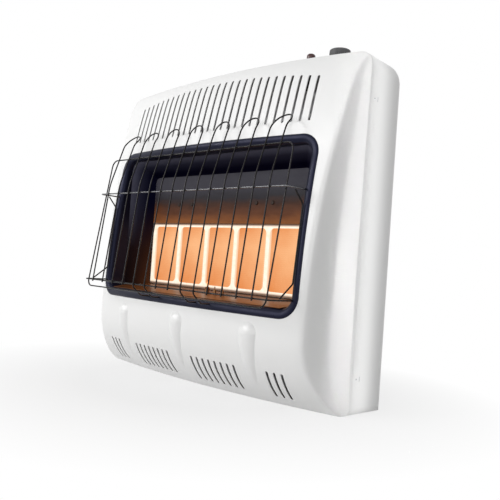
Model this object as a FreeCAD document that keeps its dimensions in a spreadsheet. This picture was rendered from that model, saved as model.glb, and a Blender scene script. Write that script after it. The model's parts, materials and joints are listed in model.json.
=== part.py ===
import FreeCAD, Part
import Sketcher
import math
import os
import re
from types import SimpleNamespace

vector = FreeCAD.Vector
document = FreeCAD.newDocument("gas_heater")
sheet = document.addObject("Spreadsheet::Sheet", "Sizes")

# Driving sizes in millimetres, heights from the floor, depths from the seam
# between the front panel and the casing (forward is negative Y).
sizes = {
    # cabinet
    "cabinet_width": 737,
    "cabinet_height": 676,
    "arch_radius": 4450,
    "corner_radius": 28,
    "foot_radius": 15,
    "casing_depth": 110,
    "back_bend": 28,
    "back_corner": 44,
    "sheet_wall": 1.2,
    "seam_gap": 0.6,
    "back_flange": 50,
    "back_lap": 18,
    "back_wall": 1,
    "seat_gap": 0.2,
    # front panel
    "panel_wall": 2,
    "crest_reach": 115,
    "crest_height": 131,
    "lower_radius": 156,
    "upper_fall": 74.25625,
    "bow_depth": 33.9480625,
    "roll_height": 50,
    "flank_width": 60,
    "window_side": 64,
    "window_bottom": 169.5,
    "window_trim": 4,
    "window_radius": 38,
    "top_slot_count": 28,
    "top_slot_side": 94.45,
    "top_slot_rise": 28.5,
    "top_slot_margin": 35,
    "top_slot_arch": 1890,
    "slot_width": 6,
    "low_slot_bottom": 18,
    "low_slot_top": 67,
    "inner_group_start": 40,
    "inner_group_count": 8,
    "outer_group_gap": 40.5,
    "outer_group_count": 3,
    "rib_side": 169.5,
    "rib_radius": 30,
    "rib_rise": 7,
    "rib_top": 121,
    "rib_foot": 25,
    # window surround and firebox
    "lip_width": 15,
    "lip_overlap": 9,
    "lip_wall": 1.5,
    "lip_gap": 0.4,
    "lip_stand": 0.5,
    "collar_back": 48,
    "liner_back": 6.3,
    "liner_margin": 8.5,
    "liner_fall": 49.5,
    "liner_wall": 1,
    "deck_rise": 28,
    "deck_wall": 1.2,
    "reflector_wall": 1.2,
    "reflector_lip": 8,
    # burner
    "plaque_gap": 3,
    "plaque_height": 132,
    "plaque_thickness": 13,
    "burner_side": 67,
    "plaque_count": 5,
    "burner_rise": 1.5,
    "burner_face": 4,
    "frame_border": 7,
    "frame_wall": 1.2,
    "frame_cover_side": 3,
    "frame_cover_end": 2,
    "frame_opening_radius": 12,
    "gasket_thickness": 1.8,
    "plenum_depth": 50,
    "plenum_wall": 1.5,
    "venturi_radius": 16,
    "venturi_wall": 1.5,
    "venturi_length": 44,
    "venturi_depth": 36,
    # controls on the top deck
    "knob_side": 120.5,
    "knob_y": 55,
    "knob_radius": 21.5,
    "knob_height": 14.2,
    "knob_gap": 4.5,
    "knob_flutes": 30,
    "knob_recess": 8,
    "knob_hub_rise": 3.5,
    "spindle_radius": 3,
    "plunger_radius": 5,
    "running_gap": 0.05,
    "boss_radius": 8,
    "button_spacing": 69,
    "button_y": 47.5,
    "button_radius": 9,
    "button_stand": 17.5,
    "igniter_radius": 11,
    "igniter_drop": 62,
    "collar_radius": 14,
    "collar_height": 4.5,
    "control_rise": 2.6,
    "control_margin": 24,
    "control_wall": 2,
    "valve_drop": 36,
    "valve_height": 58,
    "valve_width": 66,
    "valve_depth": 48,
    # gas line
    "tube_radius": 4.75,
    "pilot_tube_radius": 2,
    "lead_radius": 1.6,
    "regulator_side": 72.5,
    "regulator_height": 84,
    "regulator_radius": 26,
    "inlet_radius": 12,
    "inlet_bore": 8.6,
    "inlet_thread": 14,
    "injector_gap": 8,
    # pilot
    "pilot_x": 8,
    "pilot_y": 40,
    "pilot_pitch": 24,
    "pilot_radius": 5,
    "pilot_height": 11,
    # guard
    "guard_reach": 157.7,
    "guard_lean": 0.1215,
    "wire_radius": 1.5,
    "hairpin_count": 7,
    "leg_side": 46.45,
    "leg_rise": 27.5,
    "lower_rail_rise": 31.5,
    "upper_rail_fall": 102.5,
    "guard_top_fall": 20.5,
    "guard_bottom_rise": 16.5,
    "guard_side": 17.5,
    "arch_knee_rise": 20,
    "arch_lean": 0.3265,
    "shoulder_rise": 15,
    "loop_rise": 39,
    "loop_stand": 16,
    # wall bracket
    "bracket_reach": 6,
    "bracket_wall": 2,
    "bracket_width": 470,
    "bracket_height": 46,
    "bracket_fall": 116,
    "wall_hole_spacing": 406.4,
    "wall_hole_radius": 3.5,
    "hook_spacing": 300,
    "hook_width": 30,
    # fasteners
    "screw_head": 4.5,
    "tab_depth": 22.7,
    "tab_fall": 100,
    "tab_lower": 67,
}
# Sizes that follow the cabinet, the window in it, the deck and the plaques
window_share = 0.5
followers = {
    "upper_radius": lambda size: (size.cabinet_height - size.crest_height) ** 2 / (2 * size.upper_fall),
    "bow_radius": lambda size: (size.cabinet_width / 2) ** 2 / (2 * size.bow_depth),
    "window_width": lambda size: size.cabinet_width - 2 * size.window_side,
    "window_height": lambda size: window_share * size.cabinet_height - size.window_trim,
    "window_top": lambda size: size.window_bottom + size.window_height,
    "top_slot_pitch": lambda size: (size.cabinet_width - 2 * size.top_slot_side) / (size.top_slot_count - 1),
    "top_slot_bottom": lambda size: size.window_top + size.top_slot_rise,
    "top_slot_top": lambda size: size.cabinet_height - size.top_slot_margin,
    "rib_spacing": lambda size: size.cabinet_width / 2 - size.rib_side,
    "low_slot_pitch": lambda size: (size.rib_spacing - 2 * size.inner_group_start)
    / (size.inner_group_count - 1),
    "outer_group_start": lambda size: size.rib_spacing + size.outer_group_gap,
    "plaque_pitch": lambda size: (size.window_width - 2 * size.burner_side) / size.plaque_count,
    "plaque_width": lambda size: size.plaque_pitch - size.plaque_gap,
    "frame_opening_width": lambda size: size.plaque_width - 2 * size.frame_cover_side,
    "frame_opening_height": lambda size: size.plaque_height - 2 * size.frame_cover_end,
    "liner_back_width": lambda size: size.plaque_count * size.plaque_pitch + 2 * size.liner_margin,
    "liner_back_top": lambda size: size.window_top - size.liner_fall,
    "deck_back_height": lambda size: size.window_bottom + size.deck_rise,
    "burner_middle": lambda size: size.deck_back_height + size.burner_rise + size.frame_border
    + size.plaque_height / 2,
    "knob_x": lambda size: size.cabinet_width / 2 - size.knob_side,
    "button_x": lambda size: size.knob_x - size.button_spacing,
    "regulator_x": lambda size: size.cabinet_width / 2 - size.regulator_side,
    "leg_pitch": lambda size: (size.window_width - 2 * size.leg_side) / (2 * size.hairpin_count - 1),
    "leg_foot": lambda size: size.window_bottom + size.leg_rise,
    "lower_rail": lambda size: size.window_bottom + size.lower_rail_rise,
    "upper_rail": lambda size: size.window_top - size.upper_rail_fall,
    "guard_top": lambda size: size.window_top - size.guard_top_fall,
    "guard_bottom": lambda size: size.window_bottom + size.guard_bottom_rise,
    "guard_half_width": lambda size: size.window_width / 2 - size.guard_side,
    "arch_knee": lambda size: size.upper_rail + size.arch_knee_rise,
    "arch_shoulder": lambda size: size.window_top + size.shoulder_rise,
    "loop_top": lambda size: size.window_top + size.loop_rise,
    "bracket_level": lambda size: size.cabinet_height - size.bracket_fall,
    "tab_upper": lambda size: size.cabinet_height - size.tab_fall,
}
given = SimpleNamespace(**sizes)
for alias, rule in followers.items():
    sizes[alias] = rule(given)
    setattr(given, alias, sizes[alias])

for row, (alias, value) in enumerate(sizes.items(), start=1):
    sheet.set(f"A{row}", alias)
    sheet.set(f"B{row}", str(value))
    sheet.setAlias(f"B{row}", alias)
document.recompute()
dim = SimpleNamespace(**{alias: float(sheet.get(alias)) for alias in sizes})

# The origin lies on the floor, halfway between the wall bracket's back and the guard's front.
seam_formula = "(guard_reach - casing_depth - bracket_reach) / 2"
half_width = dim.cabinet_width / 2
axis_x = vector(1, 0, 0)
axis_y = vector(0, 1, 0)
axis_z = vector(0, 0, 1)
upright = FreeCAD.Rotation()
facing_back = FreeCAD.Rotation(axis_x, -90)
facing_right = FreeCAD.Rotation(axis_y, 90)
nodes = []
depths = {}


def formula(text):
    def named(word):
        return f"Sizes.{word.group()}" if word.group() in sizes else word.group()
    return re.sub(r"[a-z_]+", named, str(text))


def bind(item, **formulas):
    for name, text in formulas.items():
        item.setExpression(name, formula(text))


def place(item, x, y, z, turn=upright):
    item.Placement = FreeCAD.Placement(vector(), turn)
    depths[item.Name] = y
    for axis, text in (("x", x), ("y", y), ("z", z)):
        item.setExpression(f"Placement.Base.{axis}", formula(text))
    return item


def node(label, item):
    item.Label = label
    item.setExpression("Placement.Base.y", formula(f"{depths.get(item.Name, 0)} + {seam_formula}"))
    nodes.append(item)
    return item


def shaped(label, shape):
    item = document.addObject("Part::Feature", label)
    item.Shape = shape
    return node(label, item)


def box(name, length, width, height, x, y, z):
    item = document.addObject("Part::Box", name)
    bind(item, Length=length, Width=width, Height=height)
    return place(item, x, y, z)


def cylinder(name, radius, height, x, y, z, turn=upright):
    item = document.addObject("Part::Cylinder", name)
    bind(item, Radius=radius, Height=height)
    return place(item, x, y, z, turn)


def joined(name, items):
    item = document.addObject("Part::MultiFuse", name)
    item.Shapes = items
    return item


def cut(name, base, tool):
    item = document.addObject("Part::Cut", name)
    item.Base = base
    item.Tool = tool
    return item


def sketch_outline(body, role, corners):
    sketch = body.newObject("Sketcher::SketchObject", f"{body.Name}_outline")
    plane = next(feature for feature in body.Origin.OriginFeatures if feature.Role == role)
    sketch.AttachmentSupport = (plane, [""])
    sketch.MapMode = "FlatFace"
    count = len(corners)
    ring = [vector(math.cos(2 * math.pi * step / count), math.sin(2 * math.pi * step / count), 0)
            for step in range(count)]
    for step in range(count):
        sketch.addGeometry(Part.LineSegment(ring[step], ring[(step + 1) % count]), False)
    for step, corner in enumerate(corners):
        sketch.addConstraint(Sketcher.Constraint("Coincident", step, 2, (step + 1) % count, 1))
        for direction, text in zip(("DistanceX", "DistanceY"), corner):
            index = sketch.addConstraint(Sketcher.Constraint(direction, -1, 1, step, 1, 1.0))
            sketch.setExpression(f"Constraints[{index}]", formula(text))
    return sketch


def turned(label, corners, x, y, z, turn=upright):
    body = document.addObject("PartDesign::Body", label)
    sketch = sketch_outline(body, "XZ_Plane", corners)
    revolution = body.newObject("PartDesign::Revolution", f"{label}_turning")
    revolution.Profile = sketch
    revolution.ReferenceAxis = (sketch, ["V_Axis"])
    revolution.Angle = 360
    return node(label, place(body, x, y, z, turn))


def plate(label, role, corners, thickness, x, y, z):
    body = document.addObject("PartDesign::Body", label)
    sketch = sketch_outline(body, role, corners)
    pad = body.newObject("PartDesign::Pad", f"{label}_pad")
    pad.Profile = sketch
    bind(pad, Length=thickness)
    return node(label, place(body, x, y, z))


def arc_edge(centre, radius, start, end):
    def point(angle):
        return centre + vector(radius * math.cos(angle), 0, radius * math.sin(angle))
    return Part.Arc(point(start), point((start + end) / 2), point(end)).toShape()


def line_edge(start, end):
    return Part.LineSegment(start, end).toShape()


def chained(arcs):
    # closes a ring of arcs with straight runs between them
    edges = []
    for arc, following in zip(arcs, arcs[1:] + arcs[:1]):
        edges.append(arc)
        end = arc.Vertexes[-1].Point
        begin = following.Vertexes[0].Point
        if end.distanceToPoint(begin) > 1e-6:
            edges.append(line_edge(end, begin))
    return Part.Wire(edges)


def rounded_wire(width, low, high, radius, y=0.0, centre_x=0.0):
    # rounded rectangle in a plane facing forward
    right = centre_x + width / 2 - radius
    left = centre_x - width / 2 + radius
    quarter = math.pi / 2
    return chained([
        arc_edge(vector(right, y, low + radius), radius, -quarter, 0),
        arc_edge(vector(right, y, high - radius), radius, 0, quarter),
        arc_edge(vector(left, y, high - radius), radius, quarter, 2 * quarter),
        arc_edge(vector(left, y, low + radius), radius, 2 * quarter, 3 * quarter),
    ])


def prism(wire, depth):
    return Part.Face(wire).extrude(vector(0, depth, 0))


def arched_arcs(inset, y, corner):
    # rounded right corner, arched top and rounded left corner of the cabinet
    side = half_width - inset
    top = dim.arch_radius - inset
    arch_centre = vector(0, y, dim.cabinet_height - dim.arch_radius)
    reach = side - corner
    rise = math.sqrt((top - corner) ** 2 - reach ** 2)
    tilt = math.atan2(rise, reach)
    right_corner = arch_centre + vector(reach, 0, rise)
    left_corner = arch_centre + vector(-reach, 0, rise)
    return [arc_edge(right_corner, corner, 0, tilt), arc_edge(arch_centre, top, tilt, math.pi - tilt),
            arc_edge(left_corner, corner, math.pi - tilt, math.pi)]


def cabinet_wire(inset, y):
    # front outline of the cabinet: arched top, rounded corners
    side = half_width - inset
    foot = dim.foot_radius - inset
    quarter = math.pi / 2
    right_foot = arc_edge(vector(side - foot, y, inset + foot), foot, -quarter, 0)
    left_foot = arc_edge(vector(foot - side, y, inset + foot), foot, math.pi, 3 * quarter)
    return chained([right_foot] + arched_arcs(inset, y, dim.corner_radius - inset) + [left_foot])


def square_wire(inset, y, corner):
    # the same outline with a square foot below the floor
    side = half_width - inset
    foot = line_edge(vector(-side, y, -dim.back_flange), vector(side, y, -dim.back_flange))
    return chained([foot] + arched_arcs(inset, y, corner - inset))


def rod(points, bend, radius, closed=False, bends=None):
    # round wire or tube along straight runs joined by tangent arcs; bends gives each corner its own radius
    count = len(points)
    corners = range(count) if closed else range(1, count - 1)
    edges = []
    last = None if closed else points[0]
    first = None
    for step, index in enumerate(corners):
        corner = points[index]
        arc_radius = bends[step] if bends else bend
        arriving = (corner - points[index - 1]).normalize()
        leaving = (points[(index + 1) % count] - corner).normalize()
        half_turn = arriving.getAngle(leaving) / 2
        run = arc_radius * math.tan(half_turn)
        inward = (leaving - arriving).normalize()
        centre = corner + inward * (arc_radius / math.cos(half_turn))
        begin = corner - arriving * run
        end = corner + leaving * run
        if last is not None:
            edges.append(line_edge(last, begin))
        else:
            first = begin
        edges.append(Part.Arc(begin, centre - inward * arc_radius, end).toShape())
        last = end
    edges.append(line_edge(last, first if closed else points[-1]))
    path = Part.Wire(edges)
    start = path.OrderedVertexes[0].Point
    heading = path.OrderedEdges[0].tangentAt(path.OrderedEdges[0].FirstParameter)
    section = Part.Wire(Part.makeCircle(radius, start, heading))
    solid = path.makePipeShell([section], True, False)
    expected = math.pi * radius ** 2 * path.Length
    if abs(solid.Volume / expected - 1) > 0.01:
        raise ValueError(f"tube volume {solid.Volume:.0f} differs from {expected:.0f}")
    return solid


# Front panel: a bowed bulge with a valley along each side and a rolled top edge

def crest_profile(z):
    drop = dim.crest_height - z
    if drop > 0:
        return dim.crest_reach - dim.lower_radius + math.sqrt(dim.lower_radius ** 2 - drop ** 2)
    return dim.crest_reach - drop ** 2 / (2 * dim.upper_radius)


def arch_top(x):
    return dim.cabinet_height - dim.arch_radius + math.sqrt(dim.arch_radius ** 2 - x ** 2)


def bow(x):
    return x ** 2 / (2 * dim.bow_radius)


# share of the side's reach, share of the bulge there: rim, flank, valley wall, bulge
side_profile = (
    (-0.05, 0.05), (0.0, 0.09), (0.11, 0.19), (0.21, 0.285), (0.28, 0.355), (0.32, 0.395), (0.345, 0.45),
    (0.39, 0.61), (0.44, 0.81), (0.49, 0.945), (0.56, 1.0), (0.8, 1.0),
)
edge_margin = 4.0
least_flank = 35.0
low_rows = 10
middle_rows = 8
roll_angles = (90, 70, 52, 37, 24, 12)
inner_columns = 5


def side_share(share):
    if share <= side_profile[0][0]:
        return side_profile[0][1]
    for (low, low_rise), (high, high_rise) in zip(side_profile, side_profile[1:]):
        if share <= high:
            return low_rise + (high_rise - low_rise) * (share - low) / (high - low)
    return side_profile[-1][1]


def corner_share(x, z):
    # lets the skin sink to the rim around the rounded top corners
    across = abs(x) - (half_width - dim.corner_radius)
    up = z - (arch_top(half_width - dim.corner_radius) - dim.corner_radius)
    if across <= 0 or up <= 0:
        return 1.0
    share = max(0.0, 1 - math.hypot(across, up) / dim.corner_radius)
    rounding = math.sqrt(share * (2 - share))
    return 1 - (1 - rounding) * 0.8 * math.sin(2 * math.atan2(up, across))


def skin_rows():
    # each row: height as a function of x, and how far the top roll has closed
    rows = []
    for step in range(low_rows):
        level = -edge_margin + (dim.crest_height + edge_margin) * step / low_rows
        rows.append((lambda x, level=level: level, 1.0))
    for step in range(middle_rows):
        share = step / middle_rows
        rows.append((lambda x, share=share: dim.crest_height + share * (arch_top(x) - dim.roll_height
                                                                       - dim.crest_height), 1.0))
    for angle in roll_angles:
        turn = math.radians(angle)
        fall = dim.roll_height * (1 - math.cos(turn))
        rows.append((lambda x, fall=fall: arch_top(x) - fall, math.sin(turn)))
    rows.append((arch_top, 0.15))
    rows.append((lambda x: arch_top(x) + edge_margin, 0.1))
    return rows


def skin_surface():
    flank_line = half_width - dim.flank_width
    poles = []
    for height, rolled in skin_rows():
        reach = (crest_profile(height(flank_line)) - bow(flank_line)) * rolled
        column_reach = max(reach, least_flank)
        sides = [half_width - share * column_reach for share, rise in side_profile]
        inner = [sides[-1] * (1 - step / inner_columns) for step in range(1, inner_columns)]
        columns = sides + inner
        columns = [-x for x in columns] + [0.0] + columns[::-1]
        line = []
        for x in columns:
            z = height(x)
            bulge = (crest_profile(z) - bow(x)) * rolled
            rise = side_share((half_width - abs(x)) / reach)
            line.append(vector(x, -bulge * rise * corner_share(x, z), z))
        poles.append(line)
    return clamped_surface(poles)


def clamped_surface(poles):
    degree = 3
    spans = [len(poles) - degree, len(poles[0]) - degree]
    knots = [[float(step) for step in range(count + 1)] for count in spans]
    mults = [[degree + 1] + [1] * (count - 1) + [degree + 1] for count in spans]
    surface = Part.BSplineSurface()
    surface.buildFromPolesMultsKnots(poles, mults[0], mults[1], knots[0], knots[1], False, False,
                                     degree, degree)
    return surface


skin = skin_surface().toShape()
deep = dim.crest_reach * 2


def behind_skin(offset):
    # everything further back than the skin moved back by the offset
    return skin.translated(vector(0, offset, 0)).extrude(vector(0, deep, 0))


def window_wire(inset, y):
    return rounded_wire(dim.window_width - 2 * inset, dim.window_bottom + inset,
                        dim.window_bottom + dim.window_height - inset, dim.window_radius - inset, y)


def slot(x, low, high):
    return prism(rounded_wire(dim.slot_width, low, high, dim.slot_width / 2 - 0.01, -deep, x), deep)


def panel_slots():
    slots = []
    for step in range(int(dim.top_slot_count)):
        x = (step - (dim.top_slot_count - 1) / 2) * dim.top_slot_pitch
        slots.append(slot(x, dim.top_slot_bottom, dim.top_slot_top - x ** 2 / (2 * dim.top_slot_arch)))
    for start, count in ((dim.inner_group_start, dim.inner_group_count),
                         (dim.outer_group_start, dim.outer_group_count)):
        for step in range(int(count)):
            x = start + step * dim.low_slot_pitch
            slots += [slot(side * x, dim.low_slot_bottom, dim.low_slot_top) for side in (-1, 1)]
    return slots


def rib(x):
    # round bead that stands proud below the crest and sinks into the skin at its foot
    def outward(level):
        angle = math.asin((dim.crest_height - level) / dim.lower_radius)
        return angle, vector(0, -math.cos(angle), -math.sin(angle))
    top_angle, top_way = outward(dim.rib_top)
    foot_angle, foot_way = outward(dim.rib_foot)
    sink = -1.0
    scale = top_way.y * foot_way.z - top_way.z * foot_way.y
    shift = vector(0, (dim.rib_rise * foot_way.z - sink * top_way.z) / scale,
                   (top_way.y * sink - foot_way.y * dim.rib_rise) / scale)
    centre = vector(x, bow(x) + dim.lower_radius - dim.crest_reach, dim.crest_height) + shift
    start = centre + top_way * (dim.lower_radius - dim.rib_radius)
    disc = Part.Face(Part.Wire(Part.makeCircle(dim.rib_radius, start, top_way.cross(axis_x))))
    bead = disc.revolve(centre, axis_x, math.degrees(foot_angle - top_angle))
    return bead.fuse(Part.makeSphere(dim.rib_radius, start))


def front_panel():
    blank = behind_skin(0).common(prism(cabinet_wire(0, -deep), deep))
    hollow = behind_skin(dim.panel_wall).common(prism(cabinet_wire(dim.sheet_wall, -deep), deep))
    shell = blank.cut(hollow)
    ribs = [rib(x).cut(behind_skin(dim.panel_wall)) for x in (-dim.rib_spacing, 0.0, dim.rib_spacing)]
    shell = shell.fuse(ribs)
    return shell.cut([prism(window_wire(0, -deep), deep)] + panel_slots()).Solids[0]


shaped("front_panel", front_panel())


# Casing, back panel and wall bracket

def back_edges(shape, y):
    # edges around the back, without the one along the foot
    around = [edge for edge in shape.Edges if all(abs(end.Point.y - y) < 1e-6 for end in edge.Vertexes)]
    return [edge for edge in around if edge.CenterOfMass.z > 0]


def control_hole(x, y, radius):
    return Part.makeCylinder(radius, dim.valve_drop * 2, vector(x, y, dim.cabinet_height - dim.valve_drop))


def tab_levels():
    return [(side, level) for side in (-1, 1) for level in (dim.tab_lower, dim.tab_upper)]


tab_height = 9.0
tab_wall = 1.5
rivet_radius = 1.6
rivet_offset = 9.0
boss_clearance = 0.5


def casing_block(inset, front, back, bend):
    # the corners grow rounder towards the back, whose edges are rounded over except along the foot
    shoulder = back - bend - dim.sheet_wall
    sides = Part.makeLoft([square_wire(inset, front, dim.corner_radius),
                           square_wire(inset, shoulder, dim.back_corner)], True, True)
    end = prism(square_wire(inset, shoulder, dim.back_corner), back - shoulder)
    end = end.makeFillet(bend, back_edges(end, back))
    tall = 2 * dim.cabinet_height
    foot = rounded_wire(dim.cabinet_width - 2 * inset, inset, tall, dim.foot_radius - inset, front)
    return sides.fuse(end).common(prism(foot, back - front))


def casing_shell():
    outer = casing_block(0, dim.seam_gap, dim.casing_depth, dim.back_bend)
    inner = casing_block(dim.sheet_wall, -edge_margin, dim.casing_depth - dim.sheet_wall,
                         dim.back_bend - dim.sheet_wall)
    opening = prism(rounded_wire(dim.cabinet_width - 2 * dim.back_flange, dim.back_flange,
                                 arch_top(half_width) - dim.back_flange, dim.foot_radius,
                                 dim.casing_depth - dim.back_bend), dim.casing_depth)
    shell = outer.cut([inner, opening])
    holes = [control_hole(dim.knob_x, dim.knob_y, dim.boss_radius + boss_clearance),
             control_hole(dim.button_x, dim.button_y, dim.igniter_radius + boss_clearance)]
    for side, level in tab_levels():
        hole = Part.makeBox(4 * dim.sheet_wall, tab_wall + boss_clearance, tab_height)
        holes.append(hole.translated(vector(side * half_width - 2 * dim.sheet_wall,
                                            dim.tab_depth - tab_wall / 2, level - tab_height / 2)))
        holes.append(Part.makeCylinder(rivet_radius, 4 * dim.sheet_wall,
                                       vector(side * half_width - 2 * dim.sheet_wall,
                                              dim.tab_depth - rivet_offset, level), axis_x))
    return shell.cut(holes).Solids[0]


shaped("casing_shell", casing_shell())

back_front = dim.casing_depth - dim.sheet_wall - dim.seat_gap - dim.back_wall
hook_height = 20.0
inlet_clearance = 3.0


def back_panel():
    inset = dim.back_bend + dim.seat_gap
    outline = rounded_wire(dim.cabinet_width - 2 * inset, dim.back_flange - dim.back_lap,
                           arch_top(half_width) - inset, dim.foot_radius, back_front)
    sheet_plate = prism(outline, dim.back_wall)
    holes = [Part.makeCylinder(dim.inlet_radius + inlet_clearance, deep,
                               vector(dim.regulator_x, 0, dim.regulator_height), axis_y)]
    for side in (-1, 1):
        hook_slot = Part.makeBox(dim.hook_width + 2, deep, hook_height)
        holes.append(hook_slot.translated(vector(side * dim.hook_spacing / 2 - dim.hook_width / 2 - 1, 0,
                                                 dim.bracket_level)))
    return sheet_plate.cut(holes).Solids[0]


shaped("back_panel", back_panel())


def wall_bracket():
    # strip on the wall whose two hooks reach through the back panel and turn up behind it
    back = dim.casing_depth + dim.bracket_reach
    strip = Part.makeBox(dim.bracket_width, dim.bracket_wall, dim.bracket_height,
                         vector(-dim.bracket_width / 2, back - dim.bracket_wall, dim.bracket_level))
    pieces = []
    for side in (-1, 1):
        left = side * dim.hook_spacing / 2 - dim.hook_width / 2
        inside = back_front - dim.seat_gap - dim.bracket_wall
        shelf = Part.makeBox(dim.hook_width, back - inside, dim.bracket_wall,
                             vector(left, inside, dim.bracket_level + dim.seat_gap))
        lip = Part.makeBox(dim.hook_width, dim.bracket_wall, hook_height * 1.5,
                           vector(left, inside, dim.bracket_level + dim.seat_gap))
        pieces += [shelf, lip]
    hole_level = dim.bracket_level + dim.bracket_height / 2
    holes = [Part.makeCylinder(dim.wall_hole_radius, deep,
                               vector(side * dim.wall_hole_spacing / 2, 0, hole_level), axis_y)
             for side in (-1, 1)]
    return strip.fuse(pieces).removeSplitter().cut(holes).Solids[0]


shaped("wall_bracket", wall_bracket())


# Window surround: a lip behind the panel's edge, a frame that stands proud of it and a straight collar

lip_front = dim.panel_wall + dim.seat_gap
end_hole_radius = dim.wire_radius + 1.0
rail_end_x = 297.0
foot_level = dim.window_bottom + dim.lip_width / 2


def foot_legs():
    # the second hairpin on each side of the middle one stands on the surround
    return [side * (2 + offset / 2) * dim.leg_pitch for side in (-1, 1) for offset in (-1, 1)]


def window_surround():
    def window_block(inset, back=0.0):
        return prism(window_wire(inset, -deep), deep - back)

    frame_outside = window_block(dim.lip_gap)
    frame_inside = window_block(dim.lip_gap + dim.lip_wall)
    inside = window_block(dim.lip_width)
    collar_outside = window_block(dim.lip_width - dim.lip_wall, dim.collar_back)
    front = behind_skin(-dim.lip_stand)
    behind_lip = behind_skin(lip_front + dim.lip_wall)
    lip = behind_skin(lip_front).cut(behind_lip).common(window_block(-dim.lip_overlap).cut(frame_inside))
    wall = front.cut(behind_lip).common(frame_outside.cut(frame_inside))
    face = front.cut(behind_skin(dim.lip_wall - dim.lip_stand)).common(frame_outside.cut(inside))
    collar = front.common(collar_outside.cut(inside))
    holes = [Part.makeCylinder(end_hole_radius, deep, vector(side * rail_end_x, -deep, level), axis_y)
             for side in (-1, 1) for level in (dim.lower_rail, dim.upper_rail)]
    holes += [Part.makeCylinder(end_hole_radius, deep, vector(x, -deep, foot_level), axis_y)
              for x in foot_legs()]
    return lip.fuse([wall, face, collar]).cut(holes).Solids[0]


shaped("window_surround", window_surround())


# Firebox: splayed liner, sloping lower deck, upper reflector

liner_front = -dim.collar_back + dim.seat_gap
deck_front_height = dim.window_bottom + dim.lip_width + dim.seat_gap + dim.deck_wall
deck_back = -dim.liner_back - dim.seat_gap
deck_front = -dim.collar_back - 44
deck_slope = (dim.deck_back_height - deck_front_height) / (deck_back - deck_front)
deck_side_gap = 9.0


def deck_level(y):
    return dim.deck_back_height + deck_slope * (y - deck_back)


def splayed(inset):
    front = rounded_wire(dim.window_width - 2 * (dim.lip_width + inset),
                         dim.window_bottom + dim.lip_width + inset,
                         dim.window_bottom + dim.window_height - dim.lip_width - inset,
                         dim.window_radius - dim.lip_width - inset, liner_front)
    back = rounded_wire(dim.liner_back_width - 2 * inset, dim.deck_back_height + inset,
                        dim.liner_back_top - inset, dim.window_radius / 3 - inset, -dim.liner_back)
    return Part.makeLoft([front, back], True, True)


def firebox_liner():
    below = Part.Face(Part.makePolygon([
        vector(-half_width, deck_front, 0), vector(-half_width, 0, 0),
        vector(-half_width, 0, deck_level(0) + dim.seat_gap),
        vector(-half_width, deck_front, deck_level(deck_front) + dim.seat_gap),
        vector(-half_width, deck_front, 0)])).extrude(vector(dim.cabinet_width, 0, 0))
    return splayed(-dim.liner_wall).cut([splayed(0), below]).Solids[0]


shaped("firebox_liner", firebox_liner())


def deck_half_width(y):
    share = (y + dim.liner_back) / (liner_front + dim.liner_back)
    front_half = dim.window_width / 2 - dim.lip_width
    return dim.liner_back_width / 2 + share * (front_half - dim.liner_back_width / 2)


def pilot_positions():
    return [dim.pilot_x + step * dim.pilot_pitch for step in range(3)]


def lower_deck():
    outline = []
    for half, y in ((deck_half_width(deck_back) - deck_side_gap / 2, deck_back),
                    (deck_half_width(liner_front) - deck_side_gap, liner_front),
                    (deck_half_width(liner_front) - 2.4 * deck_side_gap, deck_front)):
        outline.append(vector(half, y, deck_level(y)))
    outline += [vector(-point.x, point.y, point.z) for point in reversed(outline)]
    sheet_plate = Part.Face(Part.makePolygon(outline + outline[:1])).extrude(vector(0, 0, -dim.deck_wall))
    holes = [Part.makeCylinder(dim.pilot_radius - 1, deep, vector(x, -dim.pilot_y, 0))
             for x in pilot_positions()]
    return sheet_plate.cut(holes).Solids[0]


shaped("lower_deck", lower_deck())

frame_top = "burner_middle + plaque_height / 2 + frame_border"
reflector_overlap = 3
reflector_sheet = box("reflector_sheet", "liner_back_width", "reflector_wall",
                      f"liner_back_top + {reflector_overlap} - ({frame_top} + seat_gap)",
                      "-liner_back_width / 2", "-liner_back + seat_gap", f"{frame_top} + seat_gap")
reflector_edge = box("reflector_edge", "liner_back_width - 4 * reflector_lip",
                     "reflector_lip + reflector_wall",
                     "reflector_wall", "-liner_back_width / 2 + 2 * reflector_lip",
                     "-liner_back + seat_gap - reflector_lip", f"{frame_top} + seat_gap")
node("upper_reflector", joined("upper_reflector", [reflector_sheet, reflector_edge]))


# Burner: plaques clamped between the front frame and the gasket on the plenum

burner_width = (dim.plaque_count - 1) * dim.plaque_pitch + dim.plaque_width
burner_back = -dim.burner_face + dim.plaque_thickness
frame_low = dim.burner_middle - dim.plaque_height / 2 - dim.frame_border
frame_high = dim.burner_middle + dim.plaque_height / 2 + dim.frame_border
frame_width = burner_width + 2 * dim.frame_border


def plaque_centres():
    return [(step - (dim.plaque_count - 1) / 2) * dim.plaque_pitch for step in range(int(dim.plaque_count))]


for number in range(1, int(dim.plaque_count) + 1):
    plate(f"burner_plaque_{number}", "XZ_Plane",
          [("-plaque_width / 2", "-plaque_height / 2"), ("plaque_width / 2", "-plaque_height / 2"),
           ("plaque_width / 2", "plaque_height / 2"), ("-plaque_width / 2", "plaque_height / 2")],
          "plaque_thickness", f"({number} - (plaque_count + 1) / 2) * plaque_pitch",
          "plaque_thickness - burner_face", "burner_middle")


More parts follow.
